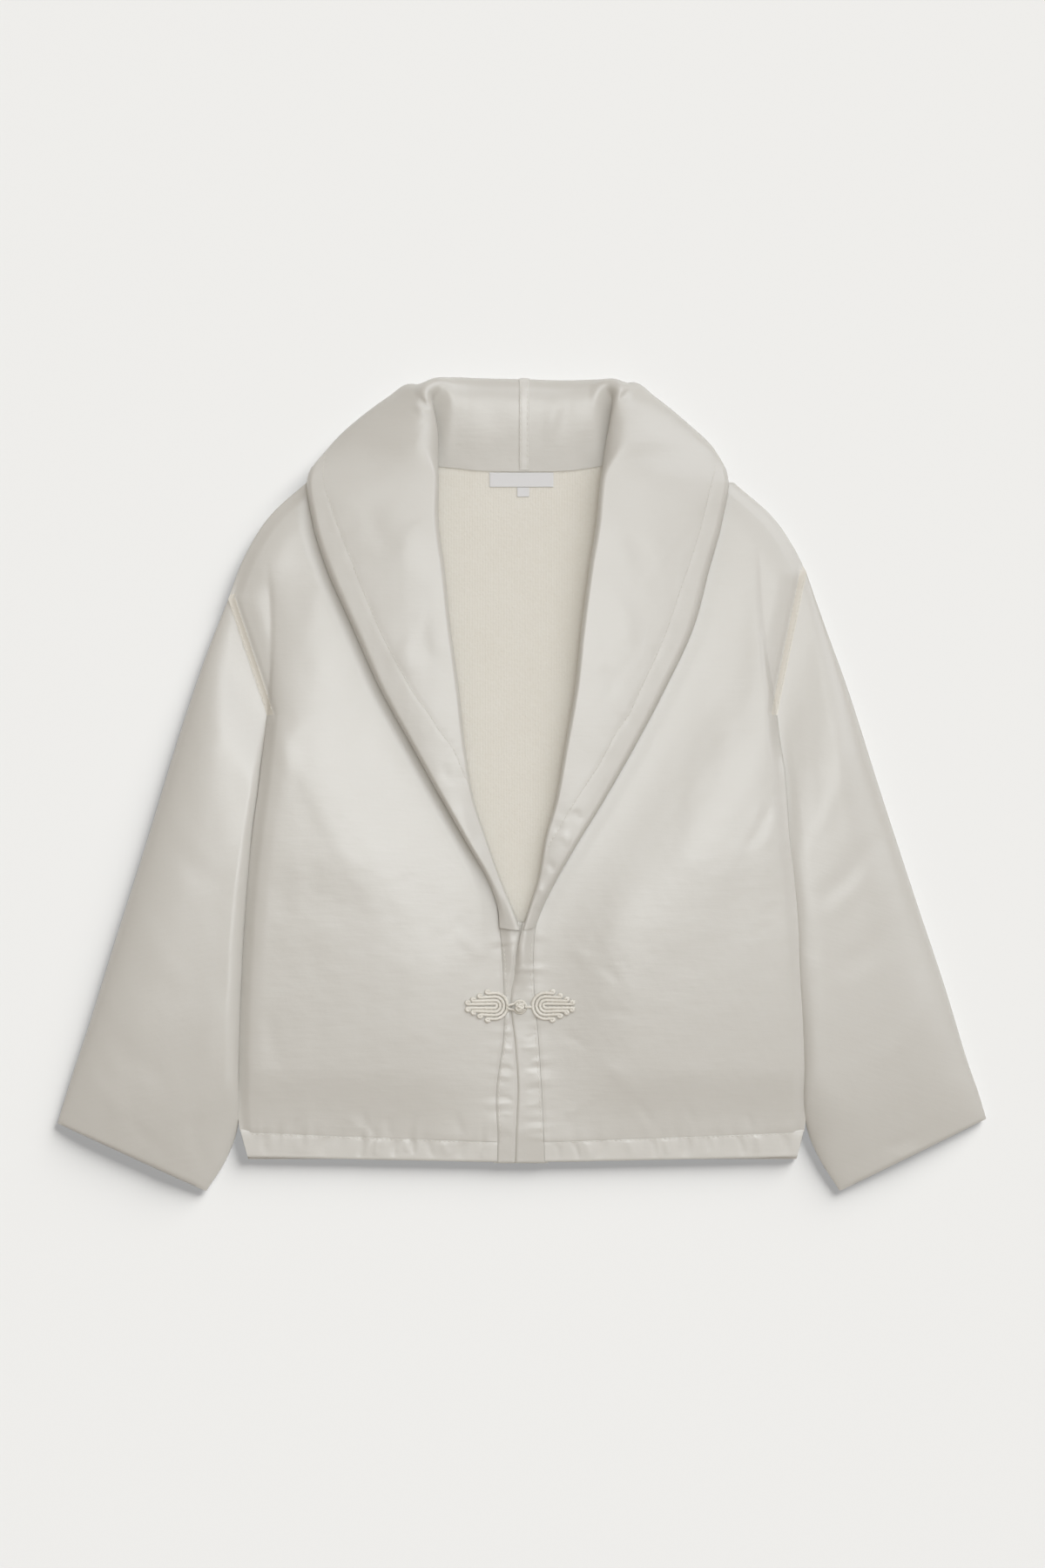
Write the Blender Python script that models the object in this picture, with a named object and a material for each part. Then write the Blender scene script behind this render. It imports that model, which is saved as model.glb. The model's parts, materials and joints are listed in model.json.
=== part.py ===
"""Padded silk jacket with a shawl collar and one frog closure, laid face up on a flat surface.

Sizes are in millimetres and meshes are made in metres. +Z is up, +Y runs from hem to collar,
and the wearer's right is at -X. Tables give x as the distance from the centre line.
"""
import math
from collections import namedtuple

import bmesh
import bpy
import numpy as np
from mathutils import Vector
from mathutils.bvhtree import BVHTree

MM = 0.001

# Driving sizes: walls, and the lines that the body's pieces share
SEAM_GAP = 0.3
BACK_WALL = 6.5
LINING_WALL = 1.8
LINING_SIDE_INSET = 19.6
LINING_HEM_INSET = 18.2
LINING_STEP = (2.0, 12.0)
FLAT_WALL = 3.0
NECK_FULLNESS = 1.2
HEM_WALL = 2.4
HEM_BOTTOM = -343.0
HEM_SIDE_LIFT = 2.0
HEM_FRONT_DROP = 2.5
BAND_DROP = 3.5
FRONT_HEM = -326.5
SIDE_HEM = -317.5
UNDERARM_ROW = 70.0
SHOULDER_ROW = 205.0
TOP_ROW = 283.0
NECK_Y = 287.0
NECK_OUTER = 160.0
NECK_EASE = 60.0
OUTLINE_COUNTS = (18, 6, 7)
ARMHOLE_GAP = 0.6

# How far in from each edge the padding of a front takes to reach its full height
SIDE_ROUND = {"right": 24.0, "left": 18.0}
SIDE_EDGE = {"right": 0.1, "left": 0.5}
SIDE_EDGE_FADE = (10.0, 64.0)
SHOULDER_ROUND = 27.0
BAND_ROUND = 55.0
HEM_ROUND = 30.0
COLLAR_LEDGE = 6.0
COLLAR_VALLEY = 100.0
COLLAR_SLANT = 0.87
COLLAR_FROM = (-220.0, -40.0)
FULLNESS_FROM = (-120.0, -60.0)
FULLNESS_ROUND = 30.0
HEM_DIP = 9.0
HEM_DIP_SPAN = (120.0, 240.0)
EDGE_CROWDING = 0.75

# Front bands: their top, where they rise into the collar, and the slant of the top
BAND_TOP = -134.5
BAND_TOP_CLEAR = 4.0
BAND_LIFT = 2.2
BAND_LIFT_FROM = (-160.0, -135.0)
BAND_SLANT = 2.5
BAND_SLANT_FROM = -150.0

# Labels, tape and frog
LABEL_SIZE = (58.5, 13.4)
LABEL_CENTRE = (-0.4, 279.5)
TAB_SIZE = (11.0, 8.6)
TAB_CENTRE = (1.2, 268.2)
LABEL_WALL = 0.7
TAPE_X = 2.2
TAPE_WIDTH = 9.2
TAPE_WALL = 1.0
KNOT_CENTRE = (-1.8, -203.0)
KNOT_RADIUS = 5.0
CORD_DIAMETER = 2.4
PAD_LEFT_END = 7.8
PAD_RIGHT_END = 11.0
PAD_BASE = 1.2
PAD_RIDGE = 1.5
PAD_AXIS_Y = -202.0
PAD_CLEAR = 0.55
KNOT_FLATTEN = 0.85
KNOT_CLEAR = 0.4
LOOP_CLEAR = 0.5
LOOP_OPEN = 150.0
STEM_CLEAR = 0.6
STEM_OVERLAP = 1.0

BACK_TOP = BACK_WALL
LINING_BASE = BACK_TOP + SEAM_GAP
LINING_TOP = LINING_BASE + LINING_WALL
FRONT_BASE = LINING_TOP + SEAM_GAP
UNDER_COLLAR_TOP = FRONT_BASE + FLAT_WALL + NECK_FULLNESS

SIDES = {"right": -1.0, "left": 1.0}

# Colour, roughness of each kind of stuff
SILK = ((0.80, 0.77, 0.71, 1.0), 0.42)
KNIT = ((0.78, 0.72, 0.61, 1.0), 0.95)
SATIN_CORD = ((0.84, 0.79, 0.67, 1.0), 0.45)
LABEL = ((0.84, 0.83, 0.82, 1.0), 0.6)

# Side seam of the body, from hem to underarm
SideSeam = namedtuple("SideSeam", "y right left")
SIDE_SEAM = [
    SideSeam(-343, 251, 252),
    SideSeam(-318, 258, 258.5),
    SideSeam(-259, 260, 259),
    SideSeam(-183, 258, 256),
    SideSeam(-115, 254, 252),
    SideSeam(-47, 247, 244.5),
    SideSeam(9, 239.5, 240),
    SideSeam(64, 233.5, 234),
]

# Armhole from the underarm to the shoulder point, and the shoulder edge up to the collar
Shoulder = namedtuple("Shoulder", "right_x right_y left_x left_y")
ARMHOLE = [
    Shoulder(233.5, 64, 234, 64),
    Shoulder(269, 170, 261, 194),
]
SHOULDER = [
    Shoulder(269, 170, 261, 194),
    Shoulder(254, 209, 248, 219),
    Shoulder(231, 246, 230, 245),
    Shoulder(196, 278, 194, 277),
]

# Edge of each front panel: the front band's seam, then the collar seam under the collar
FrontEdge = namedtuple("FrontEdge", "y right left")
FRONT_EDGE = [
    FrontEdge(-350, 22.5, 21),
    FrontEdge(-327, 22, 20.5),
    FrontEdge(-283, 23.5, 18.5),
    FrontEdge(-228, 16.7, 15),
    FrontEdge(-175, 17, 11),
    FrontEdge(-131, 20.5, 12.6),
    FrontEdge(-87, 26.5, 24),
    FrontEdge(-48, 42.5, 39.5),
    FrontEdge(0, 63.5, 57.5),
    FrontEdge(50, 77.5, 66),
    FrontEdge(106, 84.5, 73.5),
    FrontEdge(165, 91, 81.5),
    FrontEdge(213, 97, 88),
    FrontEdge(262, 99.5, 94),
    FrontEdge(290, 98, 96),
]

# Height of a front's padding, fullest below the chest and thinning to hem and shoulder
Loft = namedtuple("Loft", "y loft")
LOFT = [
    Loft(-350, 3), Loft(-318, 4), Loft(-270, 7), Loft(-210, 10.5), Loft(-140, 14), Loft(-60, 16),
    Loft(10, 15.2), Loft(80, 12), Loft(160, 8), Loft(260, 6),
]

# Line where the two fronts meet
Meeting = namedtuple("Meeting", "y x")
MEETING = [
    Meeting(-350, -6), Meeting(-303, -4.6), Meeting(-283, -3.6), Meeting(-239, -6),
    Meeting(-197, -10), Meeting(-166, -6.6), Meeting(-134, -0.5),
]
MEETING_GAP = 1.2

# Body fold beside each armhole, outside which the front drops to the armhole seam
Fold = namedtuple("Fold", "y right left")
ARMHOLE_FOLD = [
    Fold(64, 232.5, 232.5), Fold(116, 229, 224), Fold(158, 228.5, 219), Fold(209, 233, 216.5),
]
FOLD_TOP = {"right": 212.0, "left": 245.0}
FOLD_FADE = {"right": 45.0, "left": 105.0}
FOLD_ROUND = {"right": 11.0, "left": 22.0}
FOLD_ROUND_FROM = (30.0, 90.0)

# Sleeve sections from armhole to cuff; the inner end follows the side seam down to the hem
SleeveSection = namedtuple("SleeveSection", "outer_x outer_y inner_x inner_y crown")
SLEEVE = {
    "right": [
        SleeveSection(269, 170, 233.5, 64, 14),
        SleeveSection(290, 117, 238, 20, 19),
        SleeveSection(315, 43, 247, -47, 23),
        SleeveSection(345, -55, 254, -115, 25),
        SleeveSection(373, -143, 258, -183, 25),
        SleeveSection(396, -217, 260.6, -259, 23),
        SleeveSection(411, -262, 261.5, -312, 19.5),
        SleeveSection(419.5, -289, 273, -344, 15.5),
        SleeveSection(426, -310, 291, -372.4, 11),
    ],
    "left": [
        SleeveSection(261, 194, 234, 64, 14),
        SleeveSection(277.5, 147, 239, 20, 19),
        SleeveSection(300, 85, 244.5, -47, 23),
        SleeveSection(329, -6, 252, -115, 25),
        SleeveSection(359, -98, 256, -183, 25),
        SleeveSection(389, -188, 259.6, -259, 23),
        SleeveSection(408, -251, 262, -312, 19.5),
        SleeveSection(418.5, -281, 274, -342, 15.5),
        SleeveSection(426, -306, 293, -372.4, 11),
    ],
}
SLEEVE_EDGE_Z = 5.0
SLEEVE_EDGE_SHARE = 0.4
SLEEVE_ROUND = 55.0
SLEEVE_BODY_EDGE_Z = {"right": 6.0, "left": 12.0}
SLEEVE_BODY_ROUND = {"right": 14.0, "left": 12.0}
SLEEVE_BODY_FADE = (-330.0, -270.0)
ARMHOLE_SWELL = 34.0
ARMHOLE_LOW = 9.5
SLEEVE_FLOOR_ROUND = 9.0
SLIT_HALF = 1.4
SLIT_END_HALF = 0.3
SLIT_ROUND = 12.0
SLIT_INSET = 9.0
SLIT_LEVEL = 0.42

# Collar sections from centre back to the tip: the rolled edge that shows, the height of the roll's
# middle above the back panel and its half height, its turn (0 fall on top, 180 stand on top), the
# neck seam, the outline of the fall, how far the fall is folded under from there, and the wall
CollarSection = namedtuple(
    "CollarSection", "roll_x roll_y mid_z half turn seam_x seam_y line_x line_y tuck wall")
COLLAR = {
    "right": [
        CollarSection(-2.05, 371.3, 6.2, 8.5, 180, -2.05, 287.0, -2.05, 372.3, 71, 5.0),
        CollarSection(40, 372.2, 6.2, 8.5, 180, 40, 288.0, 40, 373.2, 72, 5.0),
        CollarSection(66, 372.2, 6.6, 8.7, 174, 58, 290.0, 67, 373.2, 73, 5.0),
        CollarSection(82, 369, 10.5, 9, 140, 68, 291.0, 87, 371.5, 73, 5.0),
        CollarSection(88, 358, 14.5, 9, 90, 73.5, 291.5, 104, 365, 70, 5.0),
        CollarSection(82, 344, 16, 8.5, 45, 78, 291.5, 125, 352.5, 60, 5.0),
        CollarSection(77, 325, 15.5, 9.0, 15, 83, 291.0, 150, 334, 42, 5.0),
        CollarSection(76, 304, 15.9, 9.5, 0, 90, 289.0, 175, 310, 19, 5.0),
        CollarSection(76.3, 282, 15.4, 9.5, 0, 96.5, 282, 191, 283, 0, 5.0),
        CollarSection(76.6, 240, 15.4, 9.5, 0, 98, 240, 187, 240, 0, 5.0),
        CollarSection(71, 197, 14.9, 9.0, 0, 94, 197, 174, 197, 0, 5.0),
        CollarSection(65.6, 144, 14.4, 8.5, 0, 87.5, 144, 150.6, 144, 0, 5.0),
        CollarSection(58, 88, 13.9, 8.0, 0, 81, 88, 125.5, 88, 0, 5.0),
        CollarSection(52, 34, 12.9, 7.0, 0, 72, 34, 95.4, 34, 0, 5.0),
        CollarSection(44, -14, 11.4, 5.6, 0, 56, -14, 68.4, -14, 0, 4.5),
        CollarSection(33, -48, 10.2, 4.4, 0, 41, -48, 49, -48, 0, 4.0),
        CollarSection(19.5, -87, 9.3, 3.6, 0, 25, -87, 29.5, -86, 0, 3.4),
        CollarSection(9, -112, 8.7, 3.0, 0, 17, -112, 22, -111, 0, 3.2),
        CollarSection(1.6, -133, 8.3, 2.7, 0, 11, -132.5, 20.5, -130.5, 0, 3.0),
    ],
    "left": [
        CollarSection(2.35, 371.3, 6.2, 8.5, 180, 2.35, 287.0, 2.35, 372.3, 71, 5.0),
        CollarSection(42, 370.2, 6.2, 8.5, 180, 42, 288.0, 42, 371.2, 70, 5.0),
        CollarSection(70, 370.2, 6.6, 8.7, 174, 58, 290.0, 71, 371.2, 71, 5.0),
        CollarSection(86, 368.5, 10.5, 9, 140, 68, 291.5, 91, 370.5, 72, 5.0),
        CollarSection(89, 360, 14.5, 9, 90, 73.5, 292.0, 104, 366, 70, 5.0),
        CollarSection(84, 345, 16, 8.5, 45, 78, 292.0, 124, 353, 60, 5.0),
        CollarSection(79.5, 326, 15.5, 9.0, 15, 82, 291.5, 152, 330, 38, 5.0),
        CollarSection(75.5, 304, 15.9, 9.5, 0, 88, 289.5, 176, 306, 15, 5.0),
        CollarSection(73, 282, 15.4, 9.5, 0, 93, 282, 188.5, 281, 0, 5.0),
        CollarSection(68.6, 240, 15.4, 9.5, 0, 90.5, 240, 183, 240, 0, 5.0),
        CollarSection(62, 197, 14.9, 9.0, 0, 84.5, 197, 171.3, 197, 0, 5.0),
        CollarSection(55, 144, 14.4, 8.5, 0, 77.5, 144, 157, 144, 0, 5.0),
        CollarSection(49, 88, 13.9, 8.0, 0, 70, 88, 131, 88, 0, 5.0),
        CollarSection(39.7, 34, 12.9, 7.0, 0, 61.5, 34, 102.5, 34, 0, 5.0),
        CollarSection(31, -15, 11.9, 6.2, 0, 51, -15, 75, -14, 0, 4.5),
        CollarSection(22, -48, 10.8, 5.0, 0, 38, -48, 54, -48, 0, 4.2),
        CollarSection(15, -87, 9.6, 3.9, 0, 22.5, -87, 31, -87, 0, 3.8),
        CollarSection(7, -112, 8.8, 3.1, 0, 12.5, -112, 18.5, -112, 0, 3.3),
        CollarSection(0.8, -133, 8.3, 2.7, 0, 7, -132, 12.2, -129, 0, 3.0),
    ],
}
SEAM_MID = 4.7
SEAM_THIN = 0.5
TUCKED_MID = 4.0
TUCKED_EDGE_Z = 11.5
EDGE_PADDING = 6.0
EDGE_PADDING_FROM = (-120.0, 60.0)
EDGE_PADDING_ROUND = 17.0
EDGE_PADDING_TUCK = 25.0
FALL_SWELL = 4.4
FALL_DROOP = 0.2
FALL_CLEAR = 0.4
FALL_SHARE = 0.5
SHOULDER_SHARE = 0.92
SHOULDER_SHARE_FROM = (190.0, 285.0)
TUCK_TURN = (90.0, 170.0)
MAX_HALF = 9.5

# Steps of the collar's mesh between seam, stand, ridge, fall, turn and edge
COLLAR_STEPS = (2, 3, 3, 4, 4)
TAPE_STEPS = (8, 6, 3, 4, 4)

# Frog pad cords, from the innermost loop out: distance from the axis and length of the legs
PadCord = namedtuple("PadCord", "offset leg")
PAD_CORDS = [PadCord(2.3, 24.0), PadCord(5.6, 19.0), PadCord(9.0, 13.0), PadCord(12.4, 6.0)]
PAD_ARC_RADIUS = 14.0
PAD_SLOT = 0.5
PAD_EDGE = 14.0


def through(knots, values, at):
    """Smooth curve through the values at their knots, read at other knots."""
    knots = np.asarray(knots, float)
    values = np.asarray(values, float)
    slopes = np.gradient(values, knots, axis=0)
    at = np.atleast_1d(np.asarray(at, float))
    span = np.clip(np.searchsorted(knots, at) - 1, 0, len(knots) - 2)
    width = knots[span + 1] - knots[span]
    t = (at - knots[span]) / width
    shape = (slice(None),) + (None,) * (values.ndim - 1)
    t = t[shape]
    width = width[shape]
    return ((2 * t**3 - 3 * t**2 + 1) * values[span] + (t**3 - 2 * t**2 + t) * width * slopes[span]
            + (3 * t**2 - 2 * t**3) * values[span + 1] + (t**3 - t**2) * width * slopes[span + 1])


def resample(points, count=0, steps=()):
    """Points along a smooth curve, or rows of points, through the given ones.

    Either a count spread evenly over the whole, or so many steps between each two given points.
    """
    points = np.asarray(points, float)
    flat = points.reshape(len(points), -1)
    chords = np.sqrt(np.linalg.norm(np.diff(flat, axis=0), axis=1))
    knots = np.concatenate([[0.0], np.cumsum(chords)])
    at = np.linspace(0.0, knots[-1], count)
    if steps:
        spans = [np.linspace(a, b, n, endpoint=False) for a, b, n in zip(knots, knots[1:], steps)]
        at = np.concatenate(spans + [knots[-1:]])
    return through(knots, points, at)


def across(table, side, y):
    """Distance from the centre line that a table gives for one side at y."""
    rows = sorted(table)
    knots = [row.y for row in rows]
    return through(knots, [getattr(row, side) for row in rows], np.clip(y, knots[0], knots[-1]))


def rise(distance, reach):
    """Quarter-ellipse from 0 at an edge to 1 at the reach."""
    q = np.clip(np.asarray(distance, float) / reach, 0.0, 1.0)
    return np.sqrt(1.0 - (1.0 - q) ** 2)


def ease(value, low, high):
    q = np.clip((np.asarray(value, float) - low) / (high - low), 0.0, 1.0)
    return q * q * (3.0 - 2.0 * q)


def distance_to(line, x, y):
    """Plan distance from points to a polyline."""
    line = np.asarray(line, float)
    start = line[:-1]
    run = line[1:] - start
    offset = np.stack([x, y], -1)[..., None, :] - start
    t = np.clip((offset * run).sum(-1) / (run * run).sum(-1), 0.0, 1.0)
    return np.linalg.norm(offset - t[..., None] * run, axis=-1).min(-1)


def add_object(name, vertices, faces, stuff):
    mesh = bpy.data.meshes.new(name)
    mesh.from_pydata([tuple(v) for v in np.asarray(vertices) * MM], [], faces)
    shape = bmesh.new()
    shape.from_mesh(mesh)
    bmesh.ops.recalc_face_normals(shape, faces=shape.faces)
    bmesh.ops.triangulate(shape, faces=shape.faces)
    shape.to_mesh(mesh)
    shape.free()
    return link_object(name, mesh, stuff)


def link_object(name, data, stuff):
    colour, roughness = stuff
    material = bpy.data.materials.new(name)
    material.use_nodes = True
    shader = material.node_tree.nodes["Principled BSDF"]
    shader.inputs["Base Color"].default_value = colour
    shader.inputs["Roughness"].default_value = roughness
    data.materials.append(material)
    item = bpy.data.objects.new(name, data)
    bpy.context.collection.objects.link(item)
    return item


def grid_faces(rows, columns, start=0, wrap=False):
    faces = []
    for row in range(rows - 1):
        for column in range(columns if wrap else columns - 1):
            beside = (column + 1) % columns
            low = start + row * columns
            high = low + columns
            faces.append((low + column, low + beside, high + beside, high + column))
    return faces


def slab(name, top, bottom, stuff):
    """Closed wall between two grids of points."""
    rows, columns = top.shape[:2]
    under = rows * columns
    faces = grid_faces(rows, columns) + [f[::-1] for f in grid_faces(rows, columns, under)]
    border = [column for column in range(columns)]
    border += [row * columns + columns - 1 for row in range(1, rows)]
    border += [(rows - 1) * columns + column for column in range(columns - 2, -1, -1)]
    border += [row * columns for row in range(rows - 2, 0, -1)]
    for here, following in zip(border, border[1:] + border[:1]):
        faces.append((here, here + under, following + under, following))
    points = np.concatenate([top.reshape(-1, 3), bottom.reshape(-1, 3)])
    return add_object(name, points, faces, stuff)


def open_tube(name, outer, inner, stuff):
    """Wall between two stacks of rings, open at both ends."""
    rings, count = outer.shape[:2]
    inside = rings * count
    faces = grid_faces(rings, count, 0, True)
    faces += [f[::-1] for f in grid_faces(rings, count, inside, True)]
    for ring in (0, rings - 1):
        for point in range(count):
            here = ring * count + point
            beside = ring * count + (point + 1) % count
            faces.append((here, beside, beside + inside, here + inside))
    points = np.concatenate([outer.reshape(-1, 3), inner.reshape(-1, 3)])
    return add_object(name, points, faces, stuff)


def edge_spread(count):
    """Fractions across a panel, closer together at its edges."""
    t = np.linspace(0.0, 1.0, count)
    return t + EDGE_CROWDING * (0.5 - 0.5 * np.cos(np.pi * t) - t)


def level(plan, z):
    heights = np.broadcast_to(np.asarray(z, float), plan.shape[:2])
    return np.concatenate([plan, heights[..., None]], -1)


def signed(plan, side):
    return plan * np.array([SIDES[side], 1.0])


def shoulder_points(table, side):
    return np.array([(getattr(row, side + "_x"), getattr(row, side + "_y")) for row in table], float)


def body_outline(side, counts):
    """Side seam, armhole and shoulder edge of one side, hem to collar, in three smooth stretches."""
    y = np.linspace(HEM_BOTTOM, ARMHOLE[0][1], counts[0])
    seam = np.stack([across(SIDE_SEAM, side, y), y], -1)
    armhole = resample(shoulder_points(ARMHOLE, side), counts[1])
    shoulder = resample(shoulder_points(SHOULDER, side), counts[2])
    return np.concatenate([seam, armhole[1:], shoulder[1:]])


def under_level(distance_in):
    """Underside of what lies on the back: down on the back panel round its edge, else on the lining."""
    return LINING_BASE + (FRONT_BASE - LINING_BASE) * ease(distance_in, *LINING_STEP)


def back_sheet(name, side_inset, hem_inset, base, wall, stuff, columns=11):
    """A flat layer of the back, its edge drawn in by the insets at the sides and the hem."""
    right = signed(body_outline("right", OUTLINE_COUNTS), "right")
    left = signed(body_outline("left", OUTLINE_COUNTS), "left")
    u = np.linspace(0.0, 1.0, columns)[None, :, None]
    plan = right[:, None] * (1.0 - u) + left[:, None] * u
    reach = np.abs(plan[:, :1, 0]) * (1.0 - u[..., 0]) + np.abs(plan[:, -1:, 0]) * u[..., 0]
    plan[..., 0] *= 1.0 - side_inset / reach
    plan[0, :, 1] += hem_inset
    top = plan[-1]
    top[:, 1] += (NECK_Y - top[:, 1]) * ease(NECK_OUTER - np.abs(top[:, 0]), 0.0, NECK_EASE)
    return slab(name, level(plan, base + wall), level(plan, base), stuff)


def loft_edge(side, y):
    """Where the padding of a front ends: the collar's outline, and below it the band seam."""
    rows = [row for row in COLLAR[side] if row.tuck == 0]
    rows.sort(key=lambda row: row.line_y)
    line = through([row.line_y for row in rows], [row.line_x for row in rows],
                   np.clip(y, rows[0].line_y, rows[-1].line_y))
    return np.where(y > rows[0].line_y, line, across(FRONT_EDGE, side, y))


def front_edge_rows():
    """Heights of the rows of a front panel at its front edge, from hem seam to underarm."""
    return np.linspace(FRONT_HEM, UNDERARM_ROW, OUTLINE_COUNTS[0])


def front_plan(side, columns):
    """Plan of a front panel in rows from the hem seam up, from the side seam to the front edge."""
    outline = body_outline(side, OUTLINE_COUNTS)
    seam_rows, armhole_rows = OUTLINE_COUNTS[0], OUTLINE_COUNTS[1] - 1
    shoulder_rows = OUTLINE_COUNTS[2] - 1
    outline[:seam_rows, 1] = np.linspace(SIDE_HEM, ARMHOLE[0][1], seam_rows)
    outline[:seam_rows, 0] = across(SIDE_SEAM, side, outline[:seam_rows, 1])
    inner_y = np.concatenate([
        front_edge_rows(),
        np.linspace(UNDERARM_ROW, SHOULDER_ROW, armhole_rows + 1)[1:],
        np.linspace(SHOULDER_ROW, TOP_ROW, shoulder_rows + 1)[1:]])
    inner = np.stack([across(FRONT_EDGE, side, inner_y) + 0.5 * SEAM_GAP, inner_y], -1)
    u = edge_spread(columns)[None, :, None]
    return outline[:, None] * (1.0 - u) + inner[:, None] * u


def front_heights(side, plan):
    """Top and underside of a front panel at plan points, x counted from the centre line."""
    x, y = plan[..., 0], plan[..., 1]
    outline = body_outline(side, (40, 8, 12))
    from_outline = distance_to(outline, x, y)
    side_x = across(SIDE_SEAM, side, y)
    from_hem = y - SIDE_HEM + HEM_DIP * ease(side_x - x, *HEM_DIP_SPAN)
    body_edge = np.where(y < ARMHOLE[0][1], side_x, across(ARMHOLE_FOLD, side, y))
    round_over = SIDE_ROUND[side] + (FOLD_ROUND[side] - SIDE_ROUND[side]) * ease(y, *FOLD_ROUND_FROM)
    kept = SIDE_EDGE[side] * (1.0 - ease(y, *SIDE_EDGE_FADE))
    folded = kept + (1.0 - kept) * rise(body_edge - x, round_over)
    plain = rise(from_outline, SHOULDER_ROUND)
    fold_share = 1.0 - ease(y, FOLD_TOP[side] - FOLD_FADE[side], FOLD_TOP[side])
    side_rise = plain + (folded - plain) * fold_share
    in_from_edge = (x - loft_edge(side, y)) * COLLAR_SLANT
    by_collar = ease(y, *COLLAR_FROM)
    front_rise = rise(in_from_edge, BAND_ROUND) * (1.0 - by_collar)
    front_rise += ease(in_from_edge, COLLAR_LEDGE, COLLAR_VALLEY) * by_collar
    loft = through([row.y for row in LOFT], [row.loft for row in LOFT], y.ravel()).reshape(y.shape)
    under = under_level(np.minimum(from_outline, y - HEM_BOTTOM))
    fullness = ease(from_outline, 0.0, FULLNESS_ROUND) * ease(y, *FULLNESS_FROM)
    flat = FLAT_WALL + NECK_FULLNESS * fullness
    top = under + flat + loft * side_rise * front_rise * rise(from_hem, HEM_ROUND)
    return top, under


def front_panel(side, columns=15):
    plan = front_plan(side, columns)
    top, under = front_heights(side, plan)
    place = signed(plan.reshape(-1, 2), side).reshape(plan.shape)
    return slab("front_" + side, level(place, top), level(place, under), SILK)


def hem_band(side, rows=3, columns=13):
    """Flat turned hem below a front panel, from the side seam to the front band."""
    side_y = np.array([HEM_BOTTOM + HEM_SIDE_LIFT, SIDE_HEM - SEAM_GAP])
    front_y = np.array([HEM_BOTTOM - HEM_FRONT_DROP, FRONT_HEM - SEAM_GAP])
    outer = np.stack([across(SIDE_SEAM, side, [HEM_BOTTOM, SIDE_HEM]), side_y], -1)
    inner = np.stack([across(FRONT_EDGE, side, front_y) + SEAM_GAP, front_y], -1)
    v = np.linspace(0.0, 1.0, rows)[:, None, None]
    u = np.linspace(0.0, 1.0, columns)[None, :, None]
    lower = outer[0] * (1.0 - u) + inner[0] * u
    upper = outer[1] * (1.0 - u) + inner[1] * u
    plan = lower * (1.0 - v) + upper * v
    seam_x = across(SIDE_SEAM, side, plan[..., 1].ravel()).reshape(plan.shape[:2])
    from_hem = plan[..., 1] - HEM_BOTTOM - HEM_SIDE_LIFT
    under = under_level(np.minimum(from_hem, seam_x - plan[..., 0]))
    place = signed(plan.reshape(-1, 2), side).reshape(plan.shape)
    return slab("hem_band_" + side, level(place, under + HEM_WALL), level(place, under), SILK)


def front_band(side, columns=4):
    """Flat stitched strip down a front edge, rising at its top into the collar."""
    sign = SIDES[side]
    shared = front_edge_rows()
    kept = shared[shared < BAND_TOP - BAND_TOP_CLEAR]
    y = np.concatenate([[HEM_BOTTOM - BAND_DROP], kept, [BAND_TOP]])
    meeting = through([row.y for row in MEETING], [row.x for row in MEETING], y)
    edge = meeting + sign * 0.5 * MEETING_GAP
    seam = sign * (across(FRONT_EDGE, side, y) - 0.5 * SEAM_GAP)
    u = np.linspace(0.0, 1.0, columns)
    x = edge[:, None] * (1.0 - u) + seam[:, None] * u
    slant = u[None, :] * ease(y, BAND_SLANT_FROM, BAND_TOP)[:, None] * BAND_SLANT
    plan = np.stack([x, y[:, None] + slant], -1)
    under = under_level(plan[..., 1] - HEM_BOTTOM)
    lift = BAND_LIFT * ease(plan[..., 1], *BAND_LIFT_FROM)
    top = level(plan, under + FLAT_WALL + lift)
    return slab("front_band_" + side, top, level(plan, under + 0.5 * lift), SILK)


def collar_points(row, side):
    """Middle of the wall through one collar section, from the neck seam round the roll to the edge."""
    roll = np.array([row.roll_x, row.roll_y, BACK_TOP + row.mid_z])
    line = np.array([row.line_x, row.line_y, 0.0])
    out = np.array([row.line_x - row.roll_x, row.line_y - row.roll_y, 0.0])
    out /= np.linalg.norm(out)
    up = np.array([0.0, 0.0, 1.0])
    angle = math.radians(row.turn)
    mouth = math.cos(angle) * out - math.sin(angle) * up
    fall_side = math.sin(angle) * out + math.cos(angle) * up
    centre = roll + (row.half + 0.5 * row.wall) * math.cos(angle) * out
    stand = centre - row.half * fall_side
    ridge = centre - row.half * mouth
    fall = centre + row.half * fall_side
    seam = np.array([row.seam_x, row.seam_y, BACK_TOP + SEAM_MID])
    if row.tuck == 0:
        edge = line + up * (UNDER_COLLAR_TOP + FALL_CLEAR + 0.5 * row.wall)
        near_shoulder = float(ease(row.roll_y, *SHOULDER_SHARE_FROM))
        share = FALL_SHARE + (SHOULDER_SHARE - FALL_SHARE) * near_shoulder
        turn = fall + share * (edge - fall)
        swell = FALL_DROOP * (fall[2] - edge[2]) + FALL_SWELL * row.half / MAX_HALF
        turn[2] += (1.0 - share) * swell
    else:
        edge = line + np.array([0.0, -row.tuck, TUCKED_MID])
        under = 0.5 * (fall + edge)
        under[2] = TUCKED_MID
        silhouette = line - 0.5 * row.wall * out + up * TUCKED_EDGE_Z
        share = float(ease(row.turn, *TUCK_TURN))
        turn = silhouette * (1.0 - share) + under * share
    points = np.array([seam, stand, ridge, fall, turn, edge])
    points[:, 0] *= SIDES[side]
    return points


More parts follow.
